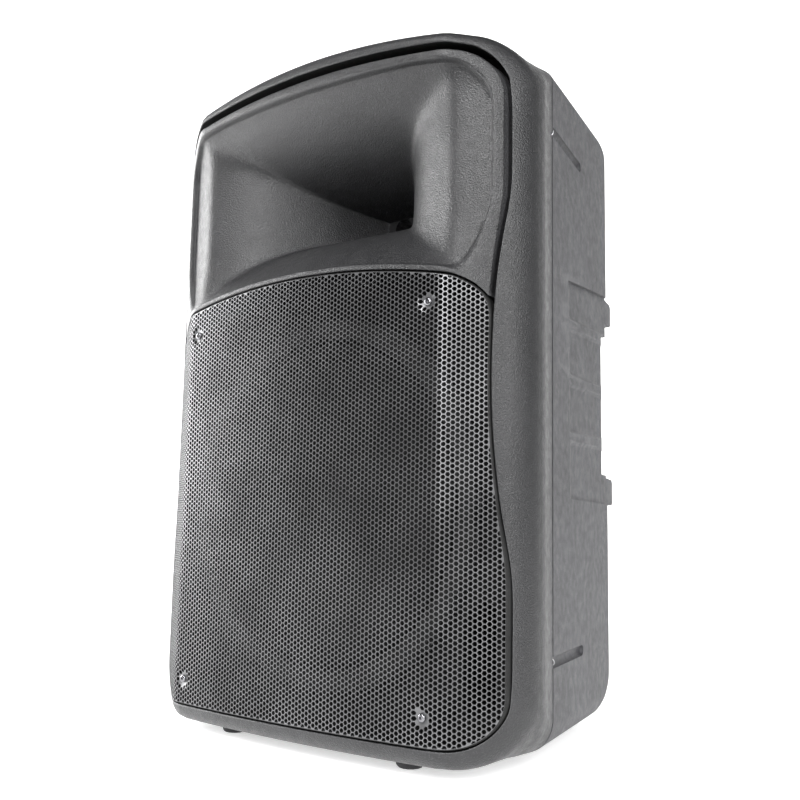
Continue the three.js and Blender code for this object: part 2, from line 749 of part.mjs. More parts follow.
function portOutline(side) {
  const points = [new THREE.Vector2(176, 52), new THREE.Vector2(190, 52)];
  points.push(...arc(193, 72, 20, -Math.PI / 3, 0, 3));
  points.push(...arc(197, 142, 16, 0, Math.PI / 2, 4));
  points.push(new THREE.Vector2(184, 151), new THREE.Vector2(176, 136), new THREE.Vector2(173, 120));
  points.push(new THREE.Vector2(173, 66));
  if (side > 0) return points;
  return points.map((p) => new THREE.Vector2(-p.x, p.y)).reverse();
}

function portTube(side) {
  const hole = portOutline(side);
  const lean = -side * TAPER;
  const start = POCKET_FLOOR_Y - 3;
  const shift = (outline, y) => outline.map((p) => new THREE.Vector2(p.x + lean * (y + 90), p.y));
  const flange = prismY(shift(drawnIn(hole, -6.5), start), start, POCKET_FLOOR_Y - GAP, lean);
  const tube = prismY(shift(drawnIn(hole, -3), start), start, 45, lean);
  return flange.add(tube).subtract(prismY(shift(hole, start - 5), start - 5, 60, lean));
}

// ---------- amplifier ----------

function panelCorners() {
  return [-1, 1].flatMap((side) => PANEL_Z.map((z, i) => [side * 112, z + (i ? -7 : 7)]));
}

function rectangle(x, z, halfX, halfZ) {
  return [[-1, -1], [1, -1], [1, 1], [-1, 1]].map(([sx, sz]) => {
    return new THREE.Vector2(x + sx * halfX, z + sz * halfZ);
  });
}

function ampPanel() {
  const middle = (PANEL_Z[0] + PANEL_Z[1]) / 2;
  const half = (PANEL_Z[1] - PANEL_Z[0]) / 2;
  let panel = prismY(rectangle(0, middle, PANEL_HALF_X, half), PANEL_Y, PANEL_Y + PANEL_SHEET);
  const hole = (r, x, z, n = 12) => {
    panel = panel.subtract(rodY(r, PANEL_Y - 5, PANEL_Y + 9, x, z, n));
  };
  const slot = (x, z, halfX, halfZ) => {
    panel = panel.subtract(prismY(rectangle(x, z, halfX, halfZ), PANEL_Y - 5, PANEL_Y + 9));
  };
  KNOB_X.forEach((x) => hole(3.7, x, KNOB_Z));
  panelCorners().forEach(([x, z]) => hole(2.6, x, z, 8));
  hole(12.4, COMBO.x, COMBO.z, 16);
  slot(COMBO.x, COMBO.z + 13, 5.2, 4);
  hole(12.4, LINK.x, LINK.z, 16);
  hole(LAMP.r + 0.4, LAMP.x, LAMP.z);
  slot(INLET.x, INLET.z, 14.4, 18.4);
  slot(SWITCH.x, SWITCH.z, 9.4, 13.4);
  return panel;
}

function ampHeatsink() {
  const fins = 11;
  const pitch = 19;
  const half = (fins - 1) * pitch / 2 + 2.5;
  const points = [new THREE.Vector2(-half, FACE_Y), new THREE.Vector2(half, FACE_Y)];
  for (let i = fins - 1; i >= 0; i--) {
    const x = (i - (fins - 1) / 2) * pitch;
    points.push(new THREE.Vector2(x + 2.5, FACE_Y + 4));
    points.push(new THREE.Vector2(x + 1.2, FACE_Y + 22), new THREE.Vector2(x - 1.2, FACE_Y + 22));
    points.push(new THREE.Vector2(x - 2.5, FACE_Y + 4));
  }
  return prismZ(points, 224, 330);
}

function ampCircuitBoard() {
  let board = box(-104, 104, 212, 213.6, 405, 524);
  for (const x of [-88, -66, 44, 62]) {
    board = board.add(rodY(7, 190, 212.2, x, 418, 12));
  }
  board = board.add(box(-30, 20, 196, 212.2, 412, 424));
  for (const x of [-50, 0, 50]) {
    board = board.add(box(x - 9, x + 9, 209, 212.2, 470, 482));
  }
  return board;
}

function mainsInlet() {
  const { x, z } = INLET;
  let inlet = box(x - 17, x + 17, FACE_Y, FACE_Y + 3, z - 21, z + 21);
  inlet = inlet.add(box(x - 14, x + 14, 210, FACE_Y + 1, z - 18, z + 18));
  inlet = inlet.subtract(box(x - 11.5, x + 11.5, 224, 250, z - 2, z + 14));
  for (const [px, pz] of [[-7, 5], [7, 5], [0, 10]]) {
    inlet = inlet.add(box(x + px - 1, x + px + 1, 223, 238, z + pz - 2, z + pz + 2));
  }
  return inlet.subtract(box(x - 10, x + 10, 214, 250, z - 15, z - 5));
}

function fuseDrawer() {
  const { x, z } = INLET;
  const drawer = box(x - 9.6, x + 9.6, 215, FACE_Y + 3, z - 14.6, z - 5.4);
  const lip = box(x - 9.6, x + 9.6, FACE_Y + 2.9, FACE_Y + 5, z - 14.6, z - 10.6);
  return drawer.add(lip).subtract(box(x - 6, x + 6, 218, 234, z - 12, z + 10));
}

function switchFrame() {
  const { x, z } = SWITCH;
  let frame = box(x - 12, x + 12, FACE_Y, FACE_Y + 2, z - 16, z + 16);
  frame = frame.add(box(x - 9, x + 9, 216, FACE_Y + 1, z - 13, z + 13));
  return frame.subtract(box(x - 7.8, x + 7.8, 220, 250, z - 12, z + 12));
}

const ROCKER_PIVOT_Y = FACE_Y - 1;

function powerRocker() {
  const shape = new THREE.Shape();
  shape.moveTo(-11, 3.2);
  shape.lineTo(-11, -1);
  shape.lineTo(-5, -9);
  shape.lineTo(5, -9);
  shape.lineTo(11, -1);
  shape.lineTo(11, 3.2);
  shape.quadraticCurveTo(0, 0.4, -11, 3.2);
  const geometry = new THREE.ExtrudeGeometry(shape, { depth: 15, bevelEnabled: false, curveSegments: 6 });
  // The profile's first direction is up and its second is back; the extrusion runs sideways.
  geometry.applyMatrix4(new THREE.Matrix4().set(0, 0, 1, -7.5, 0, 1, 0, 0, 1, 0, 0, 0, 0, 0, 0, 1));
  geometry.rotateX(THREE.MathUtils.degToRad(-ROCKER_TILT));
  return solid(geometry.translate(SWITCH.x, ROCKER_PIVOT_Y, SWITCH.z));
}

function comboSocket() {
  const { x, z } = COMBO;
  let socket = prismY(rectangle(x, z, 13, 15.5), FACE_Y, FACE_Y + 2.2);
  socket = socket.add(rodY(12, 216, FACE_Y + 1, x, z, 16));
  socket = socket.subtract(rodY(9.4, 222, 250, x, z, 16));
  socket = socket.add(tubeY(3.4, 5, 220, 232, x, z, 12));
  return socket.subtract(box(x - 4.9, x + 4.9, 226, 250, z + 10, z + 15.2));
}

function socketLatch() {
  const { x, z } = COMBO;
  return box(x - 4.5, x + 4.5, 230, FACE_Y + 4.6, z + 10.5, z + 14.7);
}

function linkSocket() {
  const { x, z } = LINK;
  let socket = prismY(rectangle(x, z, 13, 15.5), FACE_Y, FACE_Y + 2.2);
  socket = socket.add(rodY(12, 216, FACE_Y + 1, x, z, 16));
  socket = socket.subtract(rodY(9.8, 222, 250, x, z, 16));
  for (const angle of [0.5, Math.PI - 0.5, -Math.PI / 2]) {
    const pin = [x + 5 * Math.cos(angle), z + 5 * Math.sin(angle)];
    socket = socket.add(rodY(1.3, 221, 236, ...pin, 8));
  }
  return socket;
}

function knob(x) {
  const cap = [[0, 219], [3, 219], [3, FACE_Y + 0.4], [8.2, FACE_Y + 0.4], [7.6, FACE_Y + 9],
    [6.8, FACE_Y + 12], [0, FACE_Y + 12]];
  const pointer = box(x - 0.8, x + 0.8, FACE_Y + 3, FACE_Y + 12.8, KNOB_Z, KNOB_Z + 8.4);
  return latheY(cap, x, KNOB_Z, 12).add(pointer);
}

function potentiometer(x) {
  const body = box(x - 8, x + 8, 213.9, 228, KNOB_Z - 9, KNOB_Z + 9);
  const bush = rodY(5, 227, PANEL_Y - GAP, x, KNOB_Z, 12);
  return body.add(bush).subtract(rodY(3.4, 218, 250, x, KNOB_Z, 12));
}

function amplifier() {
  place("amp_panel", ampPanel(), "blackAluminium");
  place("amp_heatsink", ampHeatsink(), "blackAluminium");
  place("amp_circuit_board", ampCircuitBoard(), "board");
  place("amp_transformer", tubeY(10, 46, 197, PANEL_Y - GAP, -40, 280, 20), "copper");
  place("mains_inlet", mainsInlet(), "glossPlastic");
  place("fuse_drawer", fuseDrawer(), "glossPlastic");
  place("power_switch_frame", switchFrame(), "glossPlastic");
  place("power_rocker", powerRocker(), "glossPlastic");
  place("input_combo_socket", comboSocket(), "glossPlastic");
  place("socket_latch", socketLatch(), "nickel");
  place("link_output_socket", linkSocket(), "nickel");
  const lens = [[0, 226], [LAMP.r, 226], [LAMP.r, FACE_Y + 0.4], [LAMP.r * 0.7, FACE_Y + 2],
    [0, FACE_Y + 2.8]];
  place("power_lamp_lens", latheY(lens, LAMP.x, LAMP.z, 14), "lens");
  KNOB_X.forEach((x, i) => {
    place("knob_" + (i + 1), knob(x), "rubber");
    place("potentiometer_" + (i + 1), potentiometer(x), "zinc");
  });
  panelCorners().forEach(([x, z], i) => {
    const screw = [[0, 224], [2, 225], [2, FACE_Y], [4.6, FACE_Y], [4.2, FACE_Y + 1.8], [0, FACE_Y + 2.6]];
    place("amp_panel_screw_" + (i + 1), latheY(screw, x, z, 8), "zinc");
  });
}

// ---------- assembly ----------

place("front_shell", frontShell(), "plastic");
place("rear_shell", rearShell(), "plastic");
place("shell_gasket", shellGasket(), "seal");
place("horn_waveguide", hornWaveguide(), "plastic");
place("grille", grille(), "steel");
place("pole_socket", poleSocket(), "castAluminium");
for (const [side, label] of [[-1, "left"], [1, "right"]]) {
  place("port_tube_" + label, portTube(side), "plastic");
  GRILLE_SCREW_Z.forEach((z, i) => {
    const name = "grille_screw_" + ["upper", "lower"][i] + "_" + label;
    place(name, grilleScrew(side * GRILLE_SCREW_X, z), "zinc");
  });
  CHANNEL_Z.forEach((z, i) => {
    const screw = [[0, -40], [2.2, -39], [2.2, 7.2], [4.2, 7.2], [4.2, 9.6], [0, 10]];
    const name = "shell_screw_" + ["upper", "lower"][i] + "_" + label;
    place(name, alongSide(screw, side, z, 8), "zinc");
  });
  place("foot_front_" + label, foot(side * 118, -81), "rubber");
  place("foot_rear_" + label, foot(side * 118, 172), "rubber");
}
woofer();
hornDriver();
amplifier();

export default cabinet;
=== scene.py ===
import json
import math
import bpy
import bmesh
import numpy as np
from mathutils import Matrix, Vector, geometry

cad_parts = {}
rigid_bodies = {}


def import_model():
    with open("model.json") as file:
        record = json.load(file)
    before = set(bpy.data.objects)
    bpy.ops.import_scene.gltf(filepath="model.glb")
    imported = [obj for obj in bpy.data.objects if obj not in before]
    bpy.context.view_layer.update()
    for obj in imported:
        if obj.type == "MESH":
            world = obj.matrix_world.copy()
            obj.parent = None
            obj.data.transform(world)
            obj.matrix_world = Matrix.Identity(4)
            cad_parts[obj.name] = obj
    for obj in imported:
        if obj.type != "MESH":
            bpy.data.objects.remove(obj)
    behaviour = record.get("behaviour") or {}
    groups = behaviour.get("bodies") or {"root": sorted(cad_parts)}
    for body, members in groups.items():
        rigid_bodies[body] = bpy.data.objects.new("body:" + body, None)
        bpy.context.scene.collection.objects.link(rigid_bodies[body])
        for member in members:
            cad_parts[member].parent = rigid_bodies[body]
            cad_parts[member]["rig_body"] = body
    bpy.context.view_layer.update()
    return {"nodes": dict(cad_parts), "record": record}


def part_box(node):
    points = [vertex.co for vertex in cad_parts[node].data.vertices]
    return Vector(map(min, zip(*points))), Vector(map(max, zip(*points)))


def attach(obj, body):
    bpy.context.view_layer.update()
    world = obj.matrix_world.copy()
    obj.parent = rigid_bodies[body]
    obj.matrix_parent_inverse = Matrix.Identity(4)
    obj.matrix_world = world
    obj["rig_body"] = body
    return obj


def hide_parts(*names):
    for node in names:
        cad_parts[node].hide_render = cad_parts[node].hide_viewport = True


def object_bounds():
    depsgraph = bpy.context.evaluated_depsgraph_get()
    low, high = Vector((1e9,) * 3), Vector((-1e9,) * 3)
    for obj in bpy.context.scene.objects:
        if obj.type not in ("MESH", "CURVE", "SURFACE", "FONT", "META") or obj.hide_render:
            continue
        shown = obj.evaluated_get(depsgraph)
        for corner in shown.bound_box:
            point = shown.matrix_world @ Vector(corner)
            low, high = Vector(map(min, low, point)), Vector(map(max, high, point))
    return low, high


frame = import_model()
nodes = frame["nodes"]

# ---------------------------------------------------------------- places and sizes, in mm
MM = 0.001
CABINET = "cabinet"
SEAM_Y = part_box("shell_gasket")[0][1] / MM + 0.6  # the seam between the shells, in the frame
TOP_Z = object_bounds()[1][2] / MM
BOTTOM_Z = 10.0
ARCH = 0.000466  # fall of the roof, per mm of half width squared
TAPER = 0.2119  # how fast the rear shell narrows
SEAM_HALF = 225.4  # half widths at the seam and at the front
FRONT_HALF = 236.0
REAR_Y = 235.0  # depths are from the seam, positive to the rear
WALL = 5.0
FLOOR_Y = -72.0  # the baffle, front and back
BAFFLE_BACK_Y = -58.0
BOW_Y, BOW, BOW_END = -131.6, 0.000335, 172.0  # the bowed front, up to its flanks
FLANK_SLOPE = 0.65
GRILLE_GAP = 1.5  # between the grille and the bezel
GRILLE_ARCH_Z, GRILLE_ARCH = 476.0, 0.00055
GRILLE_SCREW_X, GRILLE_SCREW_Z = 159.2, (433.9, 55.75)
WOOFER_Z, WOOFER_HOLE = 248.0, 178.0
HORN_Z, THROAT_Y, THROAT_HALF = 576.5, 50.0, (22.0, 11.5)
CHANNEL_Z, CHANNEL_R, CHANNEL_END = (628.0, 98.0), 5.3, 112.0
RIM_STEP = 7.5  # the flare ends this far behind the face of the horn's rim
HEX_PITCH, HEX_ACROSS = 5.0, 4.05  # the holes of the grille
SHEET, SHEET_FOLD, SHEET_MARGIN = 1.6, 11.0, 1.3

VIEW = math.radians(37.05)  # the camera looks along +Y turned this far towards -X


# ---------------------------------------------------------------- mesh helpers
def place(points):
    """Points in mm, with depth from the seam, in the frame's metres."""
    p = np.asarray(points, float).copy()
    p[:, 1] += SEAM_Y
    return p * MM


def solid(name, points, faces, material, body=CABINET, stands_for=(), sharp=32.0):
    mesh = bpy.data.meshes.new(name)
    mesh.from_pydata([tuple(p) for p in place(points)], [], faces)
    tidy = bmesh.new()
    tidy.from_mesh(mesh)
    bmesh.ops.remove_doubles(tidy, verts=tidy.verts, dist=1e-6)
    bmesh.ops.recalc_face_normals(tidy, faces=tidy.faces)
    tidy.to_mesh(mesh)
    tidy.free()
    return finish(name, mesh, material, body, stands_for, sharp)


def finish(name, mesh, material, body, stands_for, sharp):
    piece = bpy.data.objects.new(name, mesh)
    bpy.context.scene.collection.objects.link(piece)
    soften(mesh, sharp)
    mesh.materials.clear()
    mesh.materials.append(material)
    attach(piece, body)
    if stands_for:
        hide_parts(*stands_for)
    return piece


def soften(mesh, sharp):
    mesh.polygons.foreach_set("use_smooth", [True] * len(mesh.polygons))
    mesh.set_sharp_from_angle(angle=math.radians(sharp))


def loft(rings, closed=False, caps=True):
    """Faces joining rings of equal length. closed joins the last ring to the first."""
    count = len(rings[0])
    points = np.vstack(rings)
    faces = []
    joins = len(rings) if closed else len(rings) - 1
    for i in range(joins):
        a, b = i * count, ((i + 1) % len(rings)) * count
        for j in range(count):
            k = (j + 1) % count
            faces.append((a + j, a + k, b + k, b + j))
    if caps and not closed:
        faces.append(tuple(range(count - 1, -1, -1)))
        faces.append(tuple((len(rings) - 1) * count + j for j in range(count)))
    return points, faces


def arc(cx, cz, r, start, end, steps):
    a = np.linspace(start, end, steps + 1)
    return np.column_stack([cx + r * np.cos(a), cz + r * np.sin(a)])


def smooth_curve(points, steps):
    """A Catmull-Rom curve through the points, with steps pieces between each pair."""
    p = np.vstack([2 * np.array(points[0]) - points[1], points, 2 * np.array(points[-1]) - points[-2]])
    t = np.linspace(0, 1, steps, endpoint=False)[:, None]
    out = []
    for i in range(1, len(p) - 2):
        a, b, c, d = p[i - 1], p[i], p[i + 1], p[i + 2]
        out.append(0.5 * (2 * b + (c - a) * t + (2 * a - 5 * b + 4 * c - d) * t**2
                          + (3 * b - 3 * c + d - a) * t**3))
    return np.vstack(out + [p[-2:-1]])


def even(path, count):
    """The same path with count points at even spacing along it, ends included."""
    d = np.concatenate([[0], np.cumsum(np.hypot(*np.diff(path, axis=0).T))])
    s = np.linspace(0, d[-1], count)
    return np.column_stack([np.interp(s, d, path[:, i]) for i in range(2)])


def mirrored(half):
    left = half[1:-1][::-1] * [-1, 1]
    return np.vstack([half, left])


def drawn_in(outline, inset):
    """An anticlockwise outline moved inwards by inset along its normals."""
    before = np.roll(outline, 1, axis=0)
    after = np.roll(outline, -1, axis=0)
    t = after - before
    t /= np.linalg.norm(t, axis=1)[:, None]
    return outline + inset * np.column_stack([-t[:, 1], t[:, 0]])


def ease(t):
    t = np.clip(t, 0, 1)
    return t * t * (3 - 2 * t)


# ---------------------------------------------------------------- outlines of the cabinet
SECTIONS = np.array([
    # depth, half width, top radius, bottom radius, drop of top, rise of bottom
    [-47, FRONT_HALF, 46, 57, 0, 0],
    [-40, 235.7, 44, 56, 0, 0],
    [-33, 234.6, 40, 53, 0, 0],
    [-26, 232.4, 34, 48, 0, 0],
    [-20, 230.2, 28, 45, 0, 0],
    [-12, 227.8, 20, 41, 0, 0],
    [-5, 226.1, 14, 38, 0, 0],
    [0, SEAM_HALF, 12, 36, 0, 0],
    [200, SEAM_HALF - TAPER * 200, 12, 33, 0, 0],
    [208, SEAM_HALF - TAPER * 208, 12, 33, 0.4, 1.2],
    [216, SEAM_HALF - TAPER * 216, 12, 32, 1.8, 4],
    [223, SEAM_HALF - TAPER * 223, 12, 32, 4.6, 9],
    [228, SEAM_HALF - TAPER * 228 - 0.3, 11, 31, 7.6, 14],
    [231.5, SEAM_HALF - TAPER * 231.5 - 0.8, 11, 31, 10.6, 18.6],
    [234, SEAM_HALF - TAPER * 234 - 1.8, 10, 30, 13.4, 23],
    [REAR_Y, SEAM_HALF - TAPER * REAR_Y - 3, 10, 30, 15, 26],
])


def shell_outline(half, top_r, bottom_r, top, bottom):
    lean = 0.0
    for _ in range(6):
        lean = math.atan(2 * ARCH * (half - top_r + top_r * math.sin(lean)))
    edge_x = half - top_r + top_r * math.sin(lean)
    edge_z = top - ARCH * edge_x**2
    cx, cz = edge_x - top_r * math.sin(lean), edge_z - top_r * math.cos(lean)
    low = arc(half - bottom_r, bottom + bottom_r, bottom_r, -math.pi / 2, 0, 16)
    high = arc(cx, cz, top_r, 0, math.pi / 2 - lean, 16)
    floor = np.column_stack([np.linspace(0, low[0][0], 13)[:-1], np.full(12, bottom)])
    side = np.column_stack([np.full(60, half), np.linspace(low[-1][1], high[0][1], 62)[1:-1]])
    xs = np.linspace(edge_x, 0, 26)[1:]
    roof = np.column_stack([xs, top - ARCH * xs**2])
    return mirrored(np.vstack([floor, low, side, high, roof]))


def section(y, inset=0.0):
    v = [np.interp(y, SECTIONS[:, 0], SECTIONS[:, i]) for i in range(6)]
    return shell_outline(v[1] - inset, max(4, v[2] - inset), max(4, v[3] - inset),
                         TOP_Z - v[4] - inset, BOTTOM_Z + v[5] + inset)


def ring_at(y, inset=0.0):
    xz = section(y, inset)
    return np.column_stack([xz[:, 0], np.full(len(xz), y), xz[:, 1]])


def bow_y(x):
    a = np.abs(x)
    main = BOW_Y + BOW * np.minimum(a, BOW_END) ** 2
    fold = 7.0  # half width of the soft bend between the front and its flanks
    over = a - BOW_END
    bend = np.where(over > fold, over, np.where(over < -fold, 0, (over + fold) ** 2 / (4 * fold)))
    return main + (FLANK_SLOPE - 2 * BOW * BOW_END) * bend + 2 * BOW * BOW_END * np.maximum(over, 0)


def pocket_half():
    low = arc(179.5, 75.8, 47.5, -math.pi / 2, 0, 24)
    waist = smooth_curve([(227, 75.8), (227.2, 130), (226.6, 186), (220.2, 240), (214.6, 300),
                          (212.5, 355), (213.8, 420), (217.3, 467), (222.9, 514), (225.4, 534),
                          (226, 552), (226, 638.5)], 12)
    high = arc(176, 638.5, 50, 0, math.pi / 2 - 0.12, 24)
    xs = np.linspace(high[-1][0], 0, 30)[1:]
    roof = np.column_stack([xs, high[-1][1] + 0.00036 * (high[-1][0] ** 2 - xs**2)])
    floor = np.column_stack([np.linspace(0, 179.5, 12)[:-1], np.full(11, 28.3)])
    return np.vstack([floor, low, waist[1:], high[1:], roof])


pocket_edge = mirrored(even(pocket_half(), 360))


def crossings(origins, directions, outline):
    """How far each ray goes before it meets the outline."""
    a, b = outline, np.roll(outline, -1, axis=0)
    e = b - a
    out = np.full(len(origins), np.inf)
    for i, (o, d) in enumerate(zip(origins, directions)):
        cross = d[0] * e[:, 1] - d[1] * e[:, 0]
        cross = np.where(np.abs(cross) < 1e-12, 1e-12, cross)
        ao = a - o
        along = (ao[:, 0] * e[:, 1] - ao[:, 1] * e[:, 0]) / cross
        share = (ao[:, 0] * d[1] - ao[:, 1] * d[0]) / cross
        hit = along[(along > 1e-6) & (share >= -1e-6) & (share <= 1 + 1e-6)]
        if len(hit):
            out[i] = hit.min()
    return out


def inside(outline, p):
    a, b = outline, np.roll(outline, -1, axis=0)
    cond = (a[:, 1] > p[1]) != (b[:, 1] > p[1])
    rise = np.where(b[:, 1] == a[:, 1], 1e-9, b[:, 1] - a[:, 1])
    x = a[:, 0] + (p[1] - a[:, 1]) * (b[:, 0] - a[:, 0]) / rise
    return bool(np.sum(cond & (p[0] < x)) % 2)


def triangulated(outer, holes):
    """Triangles between an outline and the holes in it, over the points of all of them in turn."""
    loops = [outer] + list(holes)
    points = np.vstack(loops)
    edges = []
    start = 0
    for loop in loops:
        n = len(loop)
        edges += [(start + i, start + (i + 1) % n) for i in range(n)]
        start += n
    made = geometry.delaunay_2d_cdt([Vector(p) for p in points], edges, [], 0, 1e-5)
    corners = np.array([tuple(v) for v in made[0]])
    owner = [o[0] if o else -1 for o in made[3]]
    faces = []
    for face in made[2]:
        middle = corners[list(face)].mean(axis=0)
        if inside(outer, middle) and not any(near(h, middle) and inside(h, middle) for h in holes):
            faces.append(tuple(owner[v] for v in face))
    return points, faces


def near(loop, p):
    return np.all(p >= loop.min(axis=0)) and np.all(p <= loop.max(axis=0))


# Stations round half of the horn moulding: a point where the flare meets the rim, and the point
# of the outer edge next to it.
HORN_RIM = np.array([
    (0, 485, 0, 477.8), (60, 483, 60, 475.8), (110, 478.3, 110, 471.1), (145, 473.4, 147, 465.9),
    (160, 471, 170, 461.9), (168, 469.9, 184, 458.9), (174, 469.8, 198.5, 451), (179, 471.5, 206.6, 443.2),
    (183, 474, 210.2, 438.5), (189, 481, 211.5, 453), (194.4, 490.7, 212.7, 467.7),
    (199.4, 500.4, 215.1, 490.7), (202.8, 510, 216.8, 505), (205.9, 519.8, 218.6, 519),
    (208.2, 535, 220.8, 537), (208.7, 560, 221, 560), (208.7, 600, 221, 600), (208.4, 628, 221, 636),
    (206.3, 638.3, 219.3, 648), (202, 648.4, 214.3, 659.7), (193.4, 658.7, 204.4, 670.9),
    (185.7, 665.4, 193, 677.7), (178, 669, 181.4, 680.7), (159, 672, 159, 683.1),
    (136, 674.8, 136, 685.4), (90, 676.8, 90, 688.9), (45, 678, 45, 691), (0, 678.5, 0, 691.7)])
RIM_TIP = 8  # the station at the pointed lower corner


def rim_half(columns):
    points = HORN_RIM[:, columns]
    low = smooth_curve([tuple(p) for p in points[:RIM_TIP + 1]], 6)
    high = smooth_curve([tuple(p) for p in points[RIM_TIP:]], 6)
    return np.vstack([low[:-1], high])


mouth_line = mirrored(rim_half([0, 1]))
horn_edge = mirrored(rim_half([2, 3]))


def horn_outline(inset):
    """The outer edge of the horn moulding, moved towards the mouth."""
    way = mouth_line - horn_edge
    return horn_edge + inset * way / np.linalg.norm(way, axis=1)[:, None]


def port_outline(side):
    pts = np.vstack([[(176, 52), (190, 52)], arc(193, 72, 20, -math.pi / 3, 0, 8),
                     arc(197, 142, 16, 0, math.pi / 2, 10), [(184, 151), (176, 136), (173, 120), (173, 66)]])
    if side > 0:
        return pts
    return (pts * [-1, 1])[::-1]


# ---------------------------------------------------------------- materials
def node_material(name, color, rough, metal=0.0, grain=None, painted_glint_speck=None, painted_edge_highlight=None, coat=0.0, sheen=0.0,
                  rough_spread=0.08, spec=0.5):
    """A surface with grain as (size in mm, height in mm), painted glints as light specks (size in mm, share,
    colour), and a painted highlight on convex edges as (colour, strength).
    """
    m = bpy.data.materials.new(name)
    m.use_nodes = True
    nt = m.node_tree
    nt.nodes.clear()
    out = nt.nodes.new("ShaderNodeOutputMaterial")
    bsdf = nt.nodes.new("ShaderNodeBsdfPrincipled")
    nt.links.new(bsdf.outputs[0], out.inputs[0])
    bsdf.inputs["Metallic"].default_value = metal
    bsdf.inputs["Coat Weight"].default_value = coat
    bsdf.inputs["Sheen Weight"].default_value = sheen
    bsdf.inputs["Specular IOR Level"].default_value = spec
    co = nt.nodes.new("ShaderNodeTexCoord").outputs["Object"]

    def noise(size_mm, detail=2.0, roughness=0.55):
        n = nt.nodes.new("ShaderNodeTexNoise")
        n.inputs["Scale"].default_value = 1.0 / (size_mm * MM)
        n.inputs["Detail"].default_value = detail
        n.inputs["Roughness"].default_value = roughness
        nt.links.new(co, n.inputs["Vector"])
        return n.outputs["Fac"]

    def mapped(value, a, b, lo, hi):
        r = nt.nodes.new("ShaderNodeMapRange")
        r.inputs["From Min"].default_value = a
        r.inputs["From Max"].default_value = b
        r.inputs["To Min"].default_value = lo
        r.inputs["To Max"].default_value = hi
        nt.links.new(value, r.inputs["Value"])
        return r.outputs["Result"]

    def mix(fac, a, b):
        n = nt.nodes.new("ShaderNodeMix")
        n.data_type = "RGBA"
        nt.links.new(fac, n.inputs["Factor"])
        for key, value in (("A", a), ("B", b)):
            socket = [s for s in n.inputs if s.name == key and s.type == "RGBA"][0]
            if isinstance(value, tuple):
                socket.default_value = value
            else:
                nt.links.new(value, socket)
        return [s for s in n.outputs if s.type == "RGBA"][0]

    dark = tuple(c * 0.82 for c in color) + (1.0,)
    light = tuple(min(1.0, c * 1.18) for c in color) + (1.0,)
    tone = mix(mapped(noise(60, 3), 0.35, 0.65, 0, 1), dark, light)
    # Painted glints: light specks scattered over the colour stand in for the sparkle of light on the grain.
    if painted_glint_speck:
        size, share, glint_color = painted_glint_speck
        tone = mix(mapped(noise(size, 1.0), 0.5 + share, 0.5 + share + 0.1, 0, 1), tone, glint_color + (1.0,))
    # Painted highlight: convex edges, found by pointiness, are lightened towards the given colour.
    if painted_edge_highlight:
        edge = nt.nodes.new("ShaderNodeNewGeometry").outputs["Pointiness"]
        edge_highlight_mask = mapped(edge, 0.53, 0.6, 0, painted_edge_highlight[1])
        tone = mix(edge_highlight_mask, tone, painted_edge_highlight[0] + (1.0,))
    nt.links.new(tone, bsdf.inputs["Base Color"])
    nt.links.new(mapped(noise(9, 4), 0.3, 0.7, max(0.02, rough - rough_spread), min(1, rough + rough_spread)),
                 bsdf.inputs["Roughness"])
    if grain:
        bump = nt.nodes.new("ShaderNodeBump")
        bump.inputs["Strength"].default_value = 1.0
        bump.inputs["Distance"].default_value = grain[1] * MM
        nt.links.new(noise(grain[0], 2.0), bump.inputs["Height"])
        nt.links.new(bump.outputs["Normal"], bsdf.inputs["Normal"])
    return m


case_plastic = node_material("case_plastic", (0.014, 0.014, 0.015), 0.39, grain=(1.5, 0.75),
                             painted_glint_speck=(1.3, 0.08, (0.035, 0.035, 0.037)),
                             painted_edge_highlight=((0.09, 0.09, 0.095), 0.5), rough_spread=0.08)
shell_plastic = node_material("rear_shell_plastic", (0.034, 0.034, 0.038), 0.50, grain=(1.3, 0.8),
                              painted_edge_highlight=((0.09, 0.09, 0.095), 0.5))
# Painted shade: a darker, duller plastic for the surfaces inside the pocket and the port tubes.
shade_plastic = node_material("inner_plastic_painted_shade", (0.005, 0.005, 0.005), 0.7, grain=(1.0, 0.2), spec=0.15)
grille_steel = node_material("grille_paint", (0.13, 0.13, 0.134), 0.38, metal=0.75,
                             grain=(0.8, 0.03), rough_spread=0.02)
# Painted shade: a near black paint for the grille's hole walls and folded edge.
shaded_hole_paint = node_material("grille_painted_shade", (0.012, 0.012, 0.012), 0.6, grain=(0.8, 0.03), spec=0.25)
bright_screw = node_material("bright_zinc", (0.62, 0.62, 0.64), 0.22, metal=1.0, grain=(0.4, 0.01))
dark_screw = node_material("blackened_zinc", (0.20, 0.20, 0.21), 0.25, metal=1.0, grain=(0.4, 0.02))
foot_rubber = node_material("foot_rubber", (0.014, 0.014, 0.016), 0.55, grain=(0.7, 0.05))
seal_rubber = node_material("seal_rubber", (0.006, 0.006, 0.006), 0.8, grain=(0.6, 0.05))
knob_rubber = node_material("knob_rubber", (0.022, 0.022, 0.024), 0.55, grain=(0.5, 0.04))
cast_metal = node_material("cast_frame", (0.012, 0.012, 0.013), 0.55, grain=(1.2, 0.08))
plated = node_material("plated_steel", (0.5, 0.5, 0.5), 0.3, metal=1.0, grain=(0.5, 0.01))
ferrite = node_material("ferrite", (0.03, 0.03, 0.032), 0.55, grain=(0.8, 0.05))
paper = node_material("cone_paper", (0.006, 0.006, 0.006), 0.75, grain=(1.5, 0.25), spec=0.25)
cloth = node_material("surround_cloth", (0.006, 0.006, 0.006), 0.75, grain=(0.8, 0.15), spec=0.2)
copper = node_material("coil_copper", (0.55, 0.25, 0.12), 0.35, metal=1.0, grain=(0.5, 0.05))
